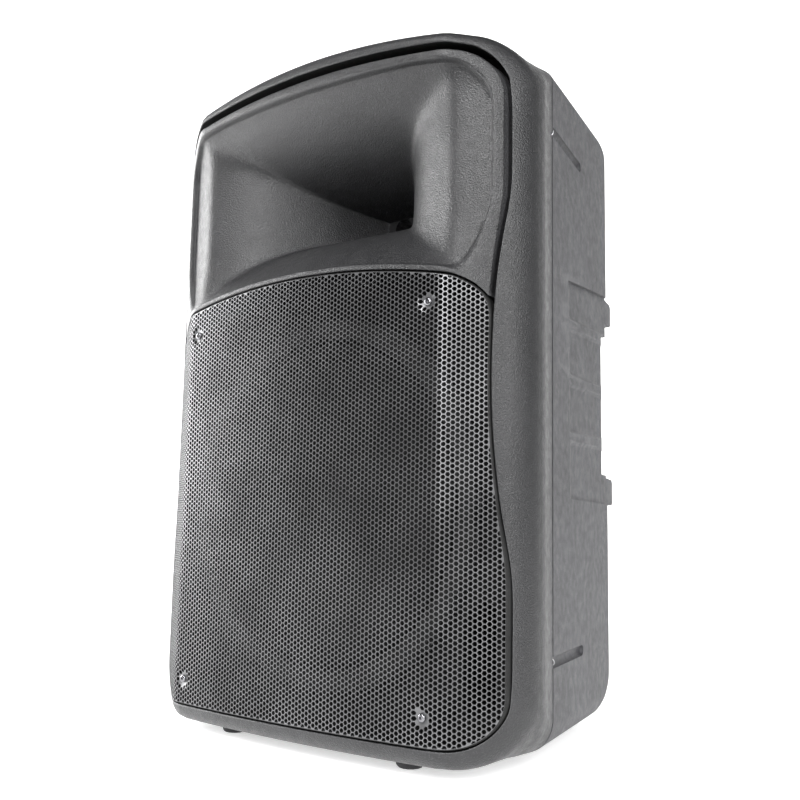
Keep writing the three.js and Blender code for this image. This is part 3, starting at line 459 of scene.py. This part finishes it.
film = node_material("diaphragm_film", (0.6, 0.6, 0.62), 0.3, metal=1.0, grain=(0.6, 0.02))
panel_paint = node_material("panel_paint", (0.02, 0.02, 0.022), 0.42, grain=(0.5, 0.04))
board_mask = node_material("solder_mask", (0.02, 0.09, 0.035), 0.4, grain=(2.0, 0.03))
black_gloss = node_material("satin_black", (0.015, 0.015, 0.017), 0.25, grain=(0.9, 0.01))
nickel = node_material("nickel", (0.5, 0.5, 0.49), 0.25, metal=1.0, grain=(0.6, 0.01))
lens_green = node_material("lamp_lens", (0.05, 0.45, 0.15), 0.12, grain=(1.5, 0.01), coat=0.5)

SLOT_MATERIAL = {
    "case_plastic": shell_plastic, "grille_steel": grille_steel, "fastener_steel": bright_screw,
    "seal_rubber": seal_rubber, "foot_rubber": foot_rubber, "knob_rubber": knob_rubber,
    "cast_frame": cast_metal, "motor_steel": plated, "ferrite": ferrite, "cone_paper": paper,
    "surround_cloth": cloth, "coil_copper": copper, "diaphragm_film": film, "panel_metal": panel_paint,
    "board": board_mask, "connector_plastic": black_gloss, "connector_metal": nickel,
    "lamp_lens": lens_green,
}


# ---------------------------------------------------------------- front shell
def front_shell():
    depths = np.arange(-47.0, 0.01, 1.0)
    table = np.array([section(y) for y in depths])
    count = table.shape[1]
    front = table[0]
    tangent = np.roll(front, -1, axis=0) - np.roll(front, 1, axis=0)
    tangent /= np.linalg.norm(tangent, axis=1)[:, None]
    outward = np.column_stack([tangent[:, 1], -tangent[:, 0]])
    across = outward[:, 0] ** 2
    up = np.where(outward[:, 1] > 0, outward[:, 1] ** 2, 0)
    down = np.where(outward[:, 1] < 0, outward[:, 1] ** 2, 0)
    roll_w = 20 * across + 12 * up + 21 * down
    roll_d = 33 * across + 12 * up + 21 * down
    edge = pocket_edge
    reach = crossings(front, -outward, edge)
    reach = np.where(np.isfinite(reach), reach, 15.0)
    kernel = np.ones(5) / 5
    reach = np.convolve(np.concatenate([reach[-2:], reach, reach[:2]]), kernel, "valid")

    def skin(y):
        """The outer surface at its own depth for each point round the outline."""
        at = np.clip(y - depths[0], 0, len(depths) - 1.001)
        low = at.astype(int)
        share = (at - low)[:, None]
        idx = np.arange(count)
        xz = table[low, idx] * (1 - share) + table[low + 1, idx] * share
        return np.column_stack([xz[:, 0], y, xz[:, 1]])

    def face(e):
        """The bezel at a distance e in from the outline, with the roll over its outer edge."""
        xz = front - outward * e[:, None]
        t = np.clip(1 - e / roll_w, 0, 1)
        y = bow_y(xz[:, 0]) + roll_d * (1 - np.sqrt(1 - t**2))
        return np.column_stack([xz[:, 0], y, xz[:, 1]])

    ones = np.ones(count)
    rings = []
    for y, inset in ((-0.9, 1.4), (-0.9, 0.7), (-1.1, 0.25), (-1.7, 0.0)):
        rings.append(ring_at(y, inset))
    start = bow_y(front[:, 0]) + roll_d
    for s in np.linspace(0, 1, 26)[1:-1]:
        rings.append(skin(-1.7 * ones + (start + 1.7) * s))
    lip = 1.3
    for s in np.linspace(0, 1, 22):
        rings.append(face((reach - lip) * (1 - math.cos(s * math.pi / 2))))
    for a in (30, 60, 90):
        e = reach - lip + lip * math.sin(math.radians(a))
        ring = face(e)
        ring[:, 1] += lip * (1 - math.cos(math.radians(a)))
        rings.append(ring)
    wall = face(reach + 0.0)
    for y in (-84.0, FLOOR_Y):
        deep = wall.copy()
        deep[:, 1] = np.maximum(y, deep[:, 1] + lip + 0.5) if y == -84.0 else y
        rings.append(deep)
    outer_points, outer_faces = loft(rings, caps=False)
    last = (len(rings) - 1) * count

    floor_loop = rings[-1][:, [0, 2]]
    steps = np.linspace(0, 2 * math.pi, 97)[:-1]
    woofer = np.column_stack([WOOFER_HOLE * np.cos(steps), WOOFER_Z + WOOFER_HOLE * np.sin(steps)])
    horn_hole = horn_outline(6.5)
    holes = [woofer, horn_hole] + [drawn_in(port_outline(s), -3.3) for s in (-1, 1)]
    bosses = [arc(s * GRILLE_SCREW_X, z, 5.4, 0, 2 * math.pi, 20)[:-1]
              for s in (-1, 1) for z in GRILLE_SCREW_Z]
    flat, tris = triangulated(floor_loop, holes + bosses)
    n_outer = len(outer_points)
    points = [outer_points]
    faces = list(outer_faces)
    lit = (len(rings) - 3) * count  # faces up to the lip; all after them are inside the pocket and get the darker plastic as painted shade

    def index(i):
        return last + i if i < count else n_outer + i - count

    inner = np.column_stack([flat[count:, 0], np.full(len(flat) - count, FLOOR_Y), flat[count:, 1]])
    points.append(inner)
    faces += [tuple(index(i) for i in t) for t in tris]
    total = n_outer + len(inner)
    start_i = count
    for h in holes:
        n = len(h)
        back = np.column_stack([h[:, 0], np.full(n, BAFFLE_BACK_Y), h[:, 1]])
        points.append(back)
        for i in range(n):
            k = (i + 1) % n
            faces.append((index(start_i + i), index(start_i + k), total + k, total + i))
        start_i += n
        total += n
    back_holes_start = total - sum(len(h) for h in holes)
    for b in bosses:
        n = len(b)
        tip = np.column_stack([b[:, 0], np.full(n, FLOOR_Y - 47), b[:, 1]])
        points.append(tip)
        for i in range(n):
            k = (i + 1) % n
            faces.append((index(start_i + i), index(start_i + k), total + k, total + i))
        faces.append(tuple(total + i for i in range(n)))
        start_i += n
        total += n
    inner_rings = [ring_at(BAFFLE_BACK_Y + 1e-6, WALL)]
    inner_rings[0][:, 1] = BAFFLE_BACK_Y
    inner_rings += [ring_at(y, WALL) for y in (-40, -25, -12, -0.9)]
    _, back_tris = triangulated(inner_rings[0][:, [0, 2]], holes)
    inner_start = total
    for r in inner_rings:
        points.append(r)
        total += len(r)
    for t in back_tris:
        faces.append(tuple(inner_start + i if i < count else back_holes_start + i - count for i in t))
    for j in range(len(inner_rings) - 1):
        a, b = inner_start + j * count, inner_start + (j + 1) * count
        for i in range(count):
            k = (i + 1) % count
            faces.append((a + i, a + k, b + k, b + i))
    a = inner_start + (len(inner_rings) - 1) * count
    for i in range(count):
        k = (i + 1) % count
        faces.append((a + i, a + k, k, i))
    shell = solid("front_shell_moulding", np.vstack(points), faces, case_plastic,
                  stands_for=["front_shell"], sharp=50)
    shell.data.materials.append(shade_plastic)
    # Painted shade: the baffle, holes and bosses inside the pocket take a darker plastic than the bezel of
    # the same moulding.
    for polygon in shell.data.polygons:
        if polygon.index >= lit:
            polygon.material_index = 1
    return shell


def evened(piece):
    """Shades the large flat faces flat, up to the rounded edges."""
    weighted = piece.modifiers.new("even_normals", "WEIGHTED_NORMAL")
    weighted.weight = 80
    weighted.keep_sharp = True


# ---------------------------------------------------------------- rear shell
def cutter(points, faces):
    mesh = bpy.data.meshes.new("cutter")
    mesh.from_pydata([tuple(p) for p in place(points)], [], faces)
    tidy = bmesh.new()
    tidy.from_mesh(mesh)
    bmesh.ops.remove_doubles(tidy, verts=tidy.verts, dist=1e-7)
    bmesh.ops.recalc_face_normals(tidy, faces=tidy.faces)
    tidy.to_mesh(mesh)
    tidy.free()
    return mesh


def block(x0, x1, y0, y1, z0, z1):
    x0, x1 = sorted((x0, x1))
    ring = lambda y: np.array([(x0, y, z0), (x1, y, z0), (x1, y, z1), (x0, y, z1)], float)
    return cutter(*loft([ring(y0), ring(y1)]))


def combined(piece, meshes, operation):
    """piece with the cutters joined to it or cut from it."""
    joined = bmesh.new()
    for mesh in meshes:
        joined.from_mesh(mesh)
    mesh = bpy.data.meshes.new("tools")
    joined.to_mesh(mesh)
    joined.free()
    tool = bpy.data.objects.new("tools", mesh)
    bpy.context.scene.collection.objects.link(tool)
    mod = piece.modifiers.new("combine", "BOOLEAN")
    mod.operation = operation
    mod.solver = "EXACT"
    mod.use_self = True
    mod.object = tool
    graph = bpy.context.evaluated_depsgraph_get()
    result = bpy.data.meshes.new_from_object(piece.evaluated_get(graph))
    piece.modifiers.clear()
    piece.data = result
    bpy.data.objects.remove(tool)


def side_x(y):
    return SEAM_HALF - TAPER * y


def channel(side, z):
    """A round-bottomed channel along the side, from the seam back to a round end."""
    rings = []
    end = CHANNEL_END - CHANNEL_R
    stations = [(y, 1.0) for y in np.linspace(-3, end, 7)]
    stations += [(end + CHANNEL_R * math.sin(a), math.cos(a)) for a in (0.4, 0.8, 1.15, 1.4)]
    for y, share in stations:
        r = (CHANNEL_R + 0.3) * share
        face_x = side_x(y)
        cx = face_x + 0.9
        bowl = arc(cx, z, r, math.pi / 2 + 0.17, 1.5 * math.pi - 0.17, 14)
        lip = [(face_x + 0.1, z - r - 0.5), (face_x + 6, z - r - 0.6), (face_x + 6, z + r + 0.6),
               (face_x + 0.1, z + r + 0.5)]
        pts = np.vstack([bowl, lip])
        rings.append(np.column_stack([side * pts[:, 0], np.full(len(pts), y), pts[:, 1]]))
    return cutter(*loft(rings))


def tab(side, z0, z1, y1, slope_z):
    """A bumper that stands out behind the rear wall, following the side's taper."""
    profile = [(218, slope_z), (y1 - 26, z0 + (2 if slope_z < z0 else 0)), (y1 - 4, z0), (y1, z0 + 3),
               (y1, z1 - 4), (y1 - 4, z1), (232, z1 + 1), (218, z1 + 1)]
    rings = []
    for inner in (24.0, 1.0, 0.3, 0.0):
        shrink = {24.0: 0.0, 1.0: 0.0, 0.3: 0.3, 0.0: 1.0}[inner]
        pts = np.array(profile, float)
        mid = pts.mean(axis=0)
        pts = pts + (mid - pts) / np.linalg.norm(mid - pts, axis=1)[:, None] * shrink
        rings.append(np.array([(side * (side_x(y) - 0.4 - inner), y, z) for y, z in pts]))
    return cutter(*loft(rings))


def rear_shell():
    depths = [1.7, 4, 10, 20, 60, 110, 150, 180, 196, 200, 204, 208, 212, 216, 220, 223, 225.5, 228,
              230, 231.5, 233, 234, 234.6, REAR_Y]
    inner = [ring_at(y, 12.0) for y in (REAR_Y - 6, 200, 110, 20)]
    inner.append(ring_at(0.9, 5.0))
    outer = [ring_at(0.9, 0.7), ring_at(1.1, 0.25)] + [ring_at(y) for y in depths]
    points, faces = loft(inner + outer)
    shell = solid("rear_shell_moulding", points, faces, shell_plastic, stands_for=["rear_shell"],
                  sharp=40)
    blocks, cuts = [], []
    for side in (-1, 1):
        blocks.append(block(side * 122, side * 173, 143, REAR_Y - 1, 284, 466))
        blocks.append(tab(side, 476, 504, 265, 458))
        blocks.append(tab(side, 254, 285, 267, 254))
    combined(shell, blocks, "UNION")
    for side in (-1, 1):
        cuts.append(block(side * 128, side * 168, 150, REAR_Y + 6, 290, 460))
        cuts.append(block(side * 160, side * 220, 213, REAR_Y + 6, 289, 458))
        cuts += [channel(side, z) for z in CHANNEL_Z]
        cuts += grip_recesses(side)
    cuts.append(block(-108, 108, REAR_Y - 15, REAR_Y + 10, 224, 526))
    combined(shell, cuts, "DIFFERENCE")
    soften(shell.data, 28)
    evened(shell)
    return shell


def grip_recesses(side):
    """The hand grip: shallow panels sunk in the side, with rounded bars left between them."""
    levels = [(486, 505), (440, 452), (381, 387), (320, 325), (256, 254)]
    bar, depth, rear = 4.8, 3.4, 276.0
    out = []
    for i in range(len(levels) - 1):
        top, low = levels[i], levels[i + 1]
        rings = []
        front = 57 + (486 - top[0]) * 0.03
        for y in np.concatenate([front + np.array([0, 1, 3, 6, 9, 12, 16]), [60 + 60, 214, 235, rear]]):
            share = (y - 57) / 157
            zt = top[0] + (top[1] - top[0]) * share - (bar if i else 0)
            zl = low[0] + (low[1] - low[0]) * share + (bar if i < len(levels) - 2 else 0)
            d = depth * float(ease((y - front) / 15)) + 0.03
            crisp = [(0, 0), (0.5, 0.1), (1, 0.5)]
            round_bar = [(0, -0.6), (0.12, 0.2), (0.4, 1.1), (0.75, 2.4), (1, 4.2)]
            top_edge = round_bar if i else crisp
            low_edge = round_bar if i < len(levels) - 2 else crisp
            ring = [(6, zt + (0.6 if i else 0))] + [(-d * a, zt - b) for a, b in top_edge]
            ring += [(-d * a, zl + b) for a, b in reversed(low_edge)]
            ring += [(6, zl - (0.6 if i < len(levels) - 2 else 0))]
            rings.append(np.array([(side * (side_x(y) + h), y, z) for h, z in ring]))
        out.append(cutter(*loft(rings)))
    out.append(bar_ends(side, depth))
    return out


def bar_ends(side, depth):
    """Takes the bars down to the panels before they reach the rear edge."""
    rings = []
    for y, share in ((196, 0.0), (204, 0.25), (212, 0.8), (218, 1.0), (276, 1.0)):
        sunk = 0.05 - (depth + 0.05) * share
        profile = [(6, 486), (sunk, 486), (sunk, 262), (6, 262)]
        rings.append(np.array([(side * (side_x(y) + h), y, z) for h, z in profile]))
    return cutter(*loft(rings))


# ---------------------------------------------------------------- horn
def side_wall(t):
    steep, shallow = 1.85 * t, 0.68 + 0.32 * t
    return (steep + shallow - np.hypot(steep - shallow, 0.34)) / 2


def mouth_reach(value, along, high=True):
    """How far the mouth reaches sideways at a height, or up or down at a width."""
    half = mouth_line[:len(mouth_line) // 2 + 1]
    across = 1 - along
    a, b = half[:-1], half[1:]
    hit = ((a[:, along] - value) * (b[:, along] - value) <= 0) & (a[:, along] != b[:, along])
    if not hit.any():
        return np.nan
    a, b = a[hit], b[hit]
    at = a[:, across] + (value - a[:, along]) / (b[:, along] - a[:, along]) * (b[:, across] - a[:, across])
    return at.max() if high else at.min()


def flare(x, z):
    """Share of the horn's depth, 0 at the throat and 1 at the mouth, at a point of its front view."""
    wide = mouth_reach(z, 1)
    tall = abs(mouth_reach(abs(x), 0, z > HORN_Z) - HORN_Z)
    u = (abs(x) - THROAT_HALF[0]) / (wide - THROAT_HALF[0])
    v = (abs(z - HORN_Z) - THROAT_HALF[1]) / (tall - THROAT_HALF[1])
    level = 1.0 if math.isnan(u) else min(1.0, max(0.0, u))
    upright = 1.0 if math.isnan(v) else min(1.0, max(0.0, v))
    side = 1 - (side_wall(level) - side_wall(0)) / (side_wall(1) - side_wall(0))
    roof = 1 - math.log(1 + 5 * upright) / math.log(6)
    soft = 0.12 * (1 - min(side, roof)) * math.sqrt(min(1, max(0, 12 * side * roof)))
    return 1 - max(0.0, (side + roof - math.hypot(side - roof, soft)) / 2)


def horn():
    away = mouth_line - [0, HORN_Z]
    far = np.linalg.norm(away, axis=1)
    rays = away / far[:, None]
    c, s = np.abs(rays[:, 0]) / THROAT_HALF[0], np.abs(rays[:, 1]) / THROAT_HALF[1]
    near_r = (c**6 + s**6) ** (-1 / 6)

    def at(t, out=0.0, back=0.0):
        r = near_r + (far - near_r) * t
        x, z = r * rays[:, 0], HORN_Z + r * rays[:, 1]
        depth = np.array([1.0 if t == 1 else flare(a, b) for a, b in zip(x, z)])
        y = THROAT_Y - (THROAT_Y - bow_y(x) - RIM_STEP) * depth + back
        return np.column_stack([x + out * rays[:, 0], y, z + out * rays[:, 1]])

    def rim(inset, lift):
        xz = horn_outline(inset)
        return np.column_stack([xz[:, 0], bow_y(xz[:, 0]) + lift, xz[:, 1]])

    shares = np.concatenate([np.linspace(0, 0.2, 16), np.linspace(0.2, 1, 34)[1:]])
    rings = [at(t) for t in shares]
    for k, lift in ((0.03, 7.0), (0.09, 5.2), (0.15, 3.2), (0.22, 1.5), (0.3, 0.5), (0.4, 0.0), (0.65, 0.0)):
        xz = mouth_line + (horn_edge - mouth_line) * k
        rings.append(np.column_stack([xz[:, 0], bow_y(xz[:, 0]) + lift, xz[:, 1]]))
    lip = 1.5
    for a in (0, 30, 60, 90):
        t = math.radians(a)
        rings.append(rim(lip * (1 - math.sin(t)), lip * (1 - math.cos(t))))
    floor = rim(0, 0)
    floor[:, 1] = FLOOR_Y - 0.3
    rings.append(floor)
    floor = rim(4, 0)
    floor[:, 1] = FLOOR_Y - 0.3
    rings.append(floor)
    rings.append(rim(4, 8))
    rings += [at(t, 4.0, 4.0 * t + 2) for t in np.linspace(1, 0, 14)[1:]]
    points, faces = loft(rings, closed=True)
    return solid("horn_moulding", points, faces, case_plastic, stands_for=["horn_waveguide"],
                 sharp=45)


# ---------------------------------------------------------------- grille
def grille_outline():
    """The pocket's outline drawn in, under the arched upper edge with its rounded corners."""
    rim = drawn_in(pocket_edge, GRILLE_GAP)
    right = rim[(rim[:, 0] >= 0) & (rim[:, 1] < 405)]
    low = right[np.argsort(np.arctan2(right[:, 1] - 240, right[:, 0]))]
    corner = smooth_curve([tuple(low[-1]), (211.6, 423), (209.2, 434), (204.8, 441.8), (198.2, 448.2),
                           (190.6, 453.3), (182.3, GRILLE_ARCH_Z - GRILLE_ARCH * 182.3**2)], 8)
    xs = np.linspace(182.3, 0, 40)[1:]
    roof = np.column_stack([xs, GRILLE_ARCH_Z - GRILLE_ARCH * xs**2])
    half = np.vstack([[(0, low[0][1])], low, corner[1:], roof])
    return mirrored(even(half, 260))


def trimmed(polygon, limit):
    """A convex hole cut off where it passes the limit's outline, or None if nothing is left."""
    middle = polygon.mean(axis=0)
    gaps = np.linalg.norm(limit - middle, axis=1)
    k = int(gaps.argmin())
    if gaps[k] > 6:
        return polygon if inside(limit, middle) else None
    run = np.roll(limit, -1, axis=0)[k] - np.roll(limit, 1, axis=0)[k]
    inward = np.array([-run[1], run[0]]) / np.linalg.norm(run)
    depth = (polygon - limit[k]) @ inward
    out = []
    for i in range(len(polygon)):
        a, b, da, db = polygon[i], polygon[(i + 1) % len(polygon)], depth[i], depth[(i + 1) % len(polygon)]
        if da >= 0:
            out.append(a)
        if da * db < 0:
            out.append(a + (b - a) * da / (da - db))
    if len(out) < 3 or depth.max() < 1.6:
        return None
    return np.array(out)


def grille():
    outline = grille_outline()
    # distance along the bent sheet against x, so that the holes keep their pitch on the flanks
    xs = np.linspace(0, 230, 921)
    ys = bow_y(xs)
    run = np.concatenate([[0], np.cumsum(np.hypot(np.diff(xs), np.diff(ys)))])
    unbend = lambda x: np.sign(x) * np.interp(np.abs(x), xs, run)
    bend = lambda s: np.sign(s) * np.interp(np.abs(s), run, xs)
    flat_outline = np.column_stack([unbend(outline[:, 0]), outline[:, 1]])
    margin = drawn_in(flat_outline, SHEET_MARGIN)
    holes = []
    corner_r = HEX_ACROSS / 2 / math.cos(math.pi / 6)
    column = HEX_PITCH * math.sqrt(3) / 2
    k = np.arange(6) * math.pi / 3
    hexagon = np.column_stack([corner_r * np.cos(k), corner_r * np.sin(k)])
    screws = [(unbend(s * GRILLE_SCREW_X), z) for s in (-1, 1) for z in GRILLE_SCREW_Z]
    for i in range(-56, 57):
        for j in range(0, 100):
            c = np.array([i * column, 22 + j * HEX_PITCH + (HEX_PITCH / 2 if i % 2 else 0)])
            hole = trimmed(hexagon + c, margin)
            if hole is None:
                continue
            if any(math.hypot(c[0] - sx, c[1] - sz) < 7.6 for sx, sz in screws):
                continue
            holes.append(hole)
    rings = [arc(sx, sz, 3.0, 0, 2 * math.pi, 16)[:-1] for sx, sz in screws]
    loops = [flat_outline] + holes + rings
    flat = np.vstack(loops)
    edges, start = [], 0
    for loop in loops:
        n = len(loop)
        edges += [(start + i, start + (i + 1) % n) for i in range(n)]
        start += n
    made = geometry.delaunay_2d_cdt([Vector(p) for p in flat], edges, [], 0, 1e-5)
    owner = [o[0] for o in made[3]]
    loop_of = np.concatenate([np.full(len(l), i) for i, l in enumerate(loops)])
    corners = np.array([tuple(v) for v in made[0]])
    tris = []
    for face in made[2]:
        f = [owner[v] for v in face]
        which = loop_of[f]
        if which[0] == which[1] == which[2]:
            if which[0] > 0 or not inside(flat_outline, corners[list(face)].mean(axis=0)):
                continue
        tris.append(tuple(f))
    x = bend(flat[:, 0])
    dish = np.zeros(len(flat))
    for sx, sz in screws:
        d = np.hypot(flat[:, 0] - sx, flat[:, 1] - sz)
        dish += 2.6 * ease((12 - d) / 8)
    n0 = len(flat_outline)
    front = np.column_stack([x, bow_y(x) + dish, flat[:, 1]])
    back = front + [0, SHEET, 0]
    n = len(front)
    inner_edge = drawn_in(outline, SHEET)
    fold_outer = np.column_stack([outline[:, 0], bow_y(outline[:, 0]) + SHEET_FOLD, outline[:, 1]])
    fold_inner = np.column_stack([inner_edge[:, 0], bow_y(inner_edge[:, 0]) + SHEET_FOLD, inner_edge[:, 1]])
    soft_outer = front[:n0].copy()
    front[:n0, [0, 2]] = drawn_in(outline, 1.0)
    front[:n0, 1] = bow_y(front[:n0, 0])
    soft_mid = np.column_stack([drawn_in(outline, 0.3), bow_y(outline[:, 0]) + 0.3])[:, [0, 2, 1]]
    soft_outer[:, 1] += 1.0
    back[:n0, [0, 2]] = inner_edge
    back[:n0, 1] = bow_y(inner_edge[:, 0]) + SHEET
    points = np.vstack([front, back, soft_mid, soft_outer, fold_outer, fold_inner])
    faces = list(tris) + [tuple(n + i for i in reversed(t)) for t in tris]
    start = n0
    for loop in loops[1:]:
        m = len(loop)
        for i in range(m):
            j = (i + 1) % m
            faces.append((start + i, start + j, n + start + j, n + start + i))
        start += m
    strips = [np.arange(n0), 2 * n + np.arange(n0), 2 * n + n0 + np.arange(n0),
              2 * n + 2 * n0 + np.arange(n0), 2 * n + 3 * n0 + np.arange(n0), n + np.arange(n0)]
    for a, b in zip(strips[:-1], strips[1:]):
        for i in range(n0):
            j = (i + 1) % n0
            faces.append((a[i], a[j], b[j], b[i]))
    piece = solid("grille_perforated", points, faces, grille_steel, stands_for=["grille"],
                  sharp=40)
    piece.data.materials.append(shaded_hole_paint)
    # Painted shade: the hole walls and the folded edge take the near black paint, darkening the holes and
    # taking the highlight off the fold.
    for polygon in piece.data.polygons:
        if polygon.index >= 2 * len(tris):
            polygon.material_index = 1
    return piece


# ---------------------------------------------------------------- fasteners
def domed_head(name, node, centre, axis, radius, height, material, recess=2.1):
    """A screw head: a shallow dome with a rounded edge and a hexagonal recess."""
    profile = [(recess * 0.9, height * 0.25), (recess, height * 0.98)]
    for a in np.linspace(0.1, 1, 7):
        profile.append((recess + (radius - recess) * math.sin(a * math.pi / 2),
                        height * 0.35 + height * 0.65 * math.cos(a * math.pi / 2)))
    profile.append((radius * 0.98, 0.0))
    rings = []
    steps = 36
    for i in range(steps):
        a = 2 * math.pi * i / steps
        hexed = 1 / max(abs(math.cos(a - k * math.pi / 3)) for k in range(6))
        rings.append(np.array([((r * (hexed if j < 2 else 1)) * math.cos(a),
                                (r * (hexed if j < 2 else 1)) * math.sin(a), h)
                               for j, (r, h) in enumerate(profile)]))
    count = len(profile)
    points = np.vstack(rings)
    faces = []
    for i in range(steps):
        a, b = i * count, ((i + 1) % steps) * count
        faces += [(a + j, b + j, b + j + 1, a + j + 1) for j in range(count - 1)]
    faces.append(tuple(i * count for i in range(steps)))
    faces.append(tuple(i * count + count - 1 for i in reversed(range(steps))))
    turn = Vector(axis).to_track_quat("Z", "Y").to_matrix()
    points = np.array([np.array(turn @ Vector(p)) + centre for p in points])
    return solid(name, points, faces, material, stands_for=[node], sharp=35)


def fasteners():
    for side, word in ((-1, "left"), (1, "right")):
        for z, level in zip(GRILLE_SCREW_Z, ("upper", "lower")):
            y = bow_y(np.array([GRILLE_SCREW_X]))[0] + 2.2
            domed_head("grille_screw_head_" + level + "_" + word, "grille_screw_" + level + "_" + word,
                       np.array([side * GRILLE_SCREW_X, y, z]), (0, -1, 0), 4.0, 2.6, dark_screw, 1.5)
        for z, level in zip(CHANNEL_Z, ("upper", "lower")):
            domed_head("shell_screw_head_" + level + "_" + word, "shell_screw_" + level + "_" + word,
                       np.array([side * (SEAM_HALF - 3.4), 0.2, z]), (-side * TAPER, 1, 0), 3.9, 3.4,
                       bright_screw, 1.6)


# ---------------------------------------------------------------- everything else
def node_slot(name):
    return [p["material_slot"] for p in frame["record"]["subparts"] if p["node"] == name][0]


def refined(name, width, segments=2, material=None):
    """A CAD piece with its edges rounded."""
    source = nodes[name]
    shape = bmesh.new()
    shape.from_mesh(source.data)
    bmesh.ops.remove_doubles(shape, verts=shape.verts, dist=2e-5)
    bmesh.ops.dissolve_limit(shape, angle_limit=math.radians(3), verts=shape.verts, edges=shape.edges)
    edges = [e for e in shape.edges if len(e.link_faces) == 2 and e.calc_face_angle() > math.radians(30)]
    bmesh.ops.bevel(shape, geom=edges, offset=width * MM, offset_type="OFFSET", segments=segments,
                    profile=0.5, affect="EDGES", clamp_overlap=True)
    mesh = bpy.data.meshes.new(name + "_finished")
    shape.to_mesh(mesh)
    shape.free()
    slot = node_slot(name)
    piece = finish(name + "_finished", mesh, material or SLOT_MATERIAL[slot], source["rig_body"],
                   [name], 40)
    evened(piece)
    return piece


ROUNDED = {
    "amp_panel": 0.8, "amp_heatsink": 0.3, "mains_inlet": 0.5, "fuse_drawer": 0.4, "power_switch_frame": 0.5,
    "power_rocker": 0.6, "input_combo_socket": 0.4, "socket_latch": 0.4, "link_output_socket": 0.4,
    "power_lamp_lens": 0.5, "pole_socket": 0.6, "foot_front_left": 1.6, "foot_front_right": 1.6,
    "foot_rear_left": 1.6, "foot_rear_right": 1.6, "port_tube_left": 0.6, "port_tube_right": 0.6,
    "amp_panel_screw_1": 0.3, "amp_panel_screw_2": 0.3, "amp_panel_screw_3": 0.3, "amp_panel_screw_4": 0.3,
}


def small_parts():
    for name, width in ROUNDED.items():
        # Painted shade: the port tubes take the darker plastic for the shade inside them.
        refined(name, width, material=shade_plastic if name.startswith("port_tube") else None)


def dress_nodes():
    for part in frame["record"]["subparts"]:
        node = nodes[part["node"]]
        slots = node.data.materials
        material = SLOT_MATERIAL[part["material_slot"]]
        if len(slots):
            for i in range(len(slots)):
                slots[i] = material
        else:
            slots.append(material)
        node.data.polygons.foreach_set("use_smooth", [True] * len(node.data.polygons))
        node.data.set_sharp_from_angle(angle=math.radians(35))


def stage():
    """A pale sweep: a floor that curves up into a wall behind the cabinet, along the view."""
    across, back = Vector((math.cos(VIEW), math.sin(VIEW), 0)), Vector((-math.sin(VIEW), math.cos(VIEW), 0))
    profile = [(-0.75, 0.0), (1.2, 0.0)]
    profile += [(1.2 + 0.8 * math.sin(a), 0.8 - 0.8 * math.cos(a)) for a in np.linspace(0.1, math.pi / 2, 12)]
    profile.append((2.0, 3.2))
    points = []
    for side in (-4.0, 4.0):
        points += [tuple(across * side + back * d + Vector((0, 0, h))) for d, h in profile]
    n = len(profile)
    mesh = bpy.data.meshes.new("sweep")
    mesh.from_pydata(points, [], [(i, n + i, n + i + 1, i + 1) for i in range(n - 1)])
    mesh.polygons.foreach_set("use_smooth", [True] * len(mesh.polygons))
    floor = bpy.data.objects.new("sweep", mesh)
    bpy.context.scene.collection.objects.link(floor)
    m = bpy.data.materials.new("pale_sweep")
    m.use_nodes = True
    b = m.node_tree.nodes["Principled BSDF"]
    b.inputs["Base Color"].default_value = (0.9, 0.9, 0.9, 1)
    b.inputs["Roughness"].default_value = 0.9
    b.inputs["Emission Color"].default_value = (1, 1, 1, 1)
    b.inputs["Emission Strength"].default_value = 0.55
    mesh.materials.append(m)


def camera():
    az, pitch, roll = VIEW, math.radians(7.36), math.radians(1.09)
    ahead = Vector((-math.sin(az) * math.cos(pitch), math.cos(az) * math.cos(pitch), math.sin(pitch)))
    right0 = Vector((math.cos(az), math.sin(az), 0))
    up0 = right0.cross(ahead)
    right = math.cos(roll) * right0 + math.sin(roll) * up0
    up = -math.sin(roll) * right0 + math.cos(roll) * up0
    cam = bpy.data.cameras.new("camera")
    cam.lens = 43.37
    cam.sensor_width = 36
    cam.clip_start = 0.05
    obj = bpy.data.objects.new("camera", cam)
    bpy.context.scene.collection.objects.link(obj)
    obj.matrix_world = Matrix((
        (right.x, up.x, -ahead.x, 0.67297),
        (right.y, up.y, -ahead.y, -0.84283 + SEAM_Y * MM),
        (right.z, up.z, -ahead.z, 0.2259),
        (0, 0, 0, 1)))
    bpy.context.scene.camera = obj


def area(name, at, target, size, power):
    light = bpy.data.lights.new(name, "AREA")
    light.shape = "RECTANGLE"
    light.size, light.size_y = size
    light.energy = power
    obj = bpy.data.objects.new(name, light)
    bpy.context.scene.collection.objects.link(obj)
    obj.location = at
    obj.rotation_euler = (Vector(target) - Vector(at)).to_track_quat("-Z", "Y").to_euler()


def lighting():
    world = bpy.data.worlds.new("studio")
    world.use_nodes = True
    world.node_tree.nodes["Background"].inputs[0].default_value = (1, 1, 1, 1)
    world.node_tree.nodes["Background"].inputs[1].default_value = 0.05
    bpy.context.scene.world = world
    middle = (0, 0, 0.38)
    area("left", (-2.4, -0.9, 0.9), middle, (1.2, 1.6), 92)
    area("far_left", (-2.6, 0.3, 0.9), middle, (1.0, 1.8), 30)
    area("front_high", (0.2, -2.2, 2.4), middle, (1.2, 1.0), 75)
    area("front_right", (1.1, -2.6, 1.2), middle, (1.0, 1.4), 62)
    area("right", (2.4, -0.6, 1.1), middle, (1.2, 1.8), 66)
    bpy.context.scene.view_settings.view_transform = "Standard"


dress_nodes()
front_shell()
rear_shell()
horn()
grille()
fasteners()
small_parts()
stage()
camera()
lighting()
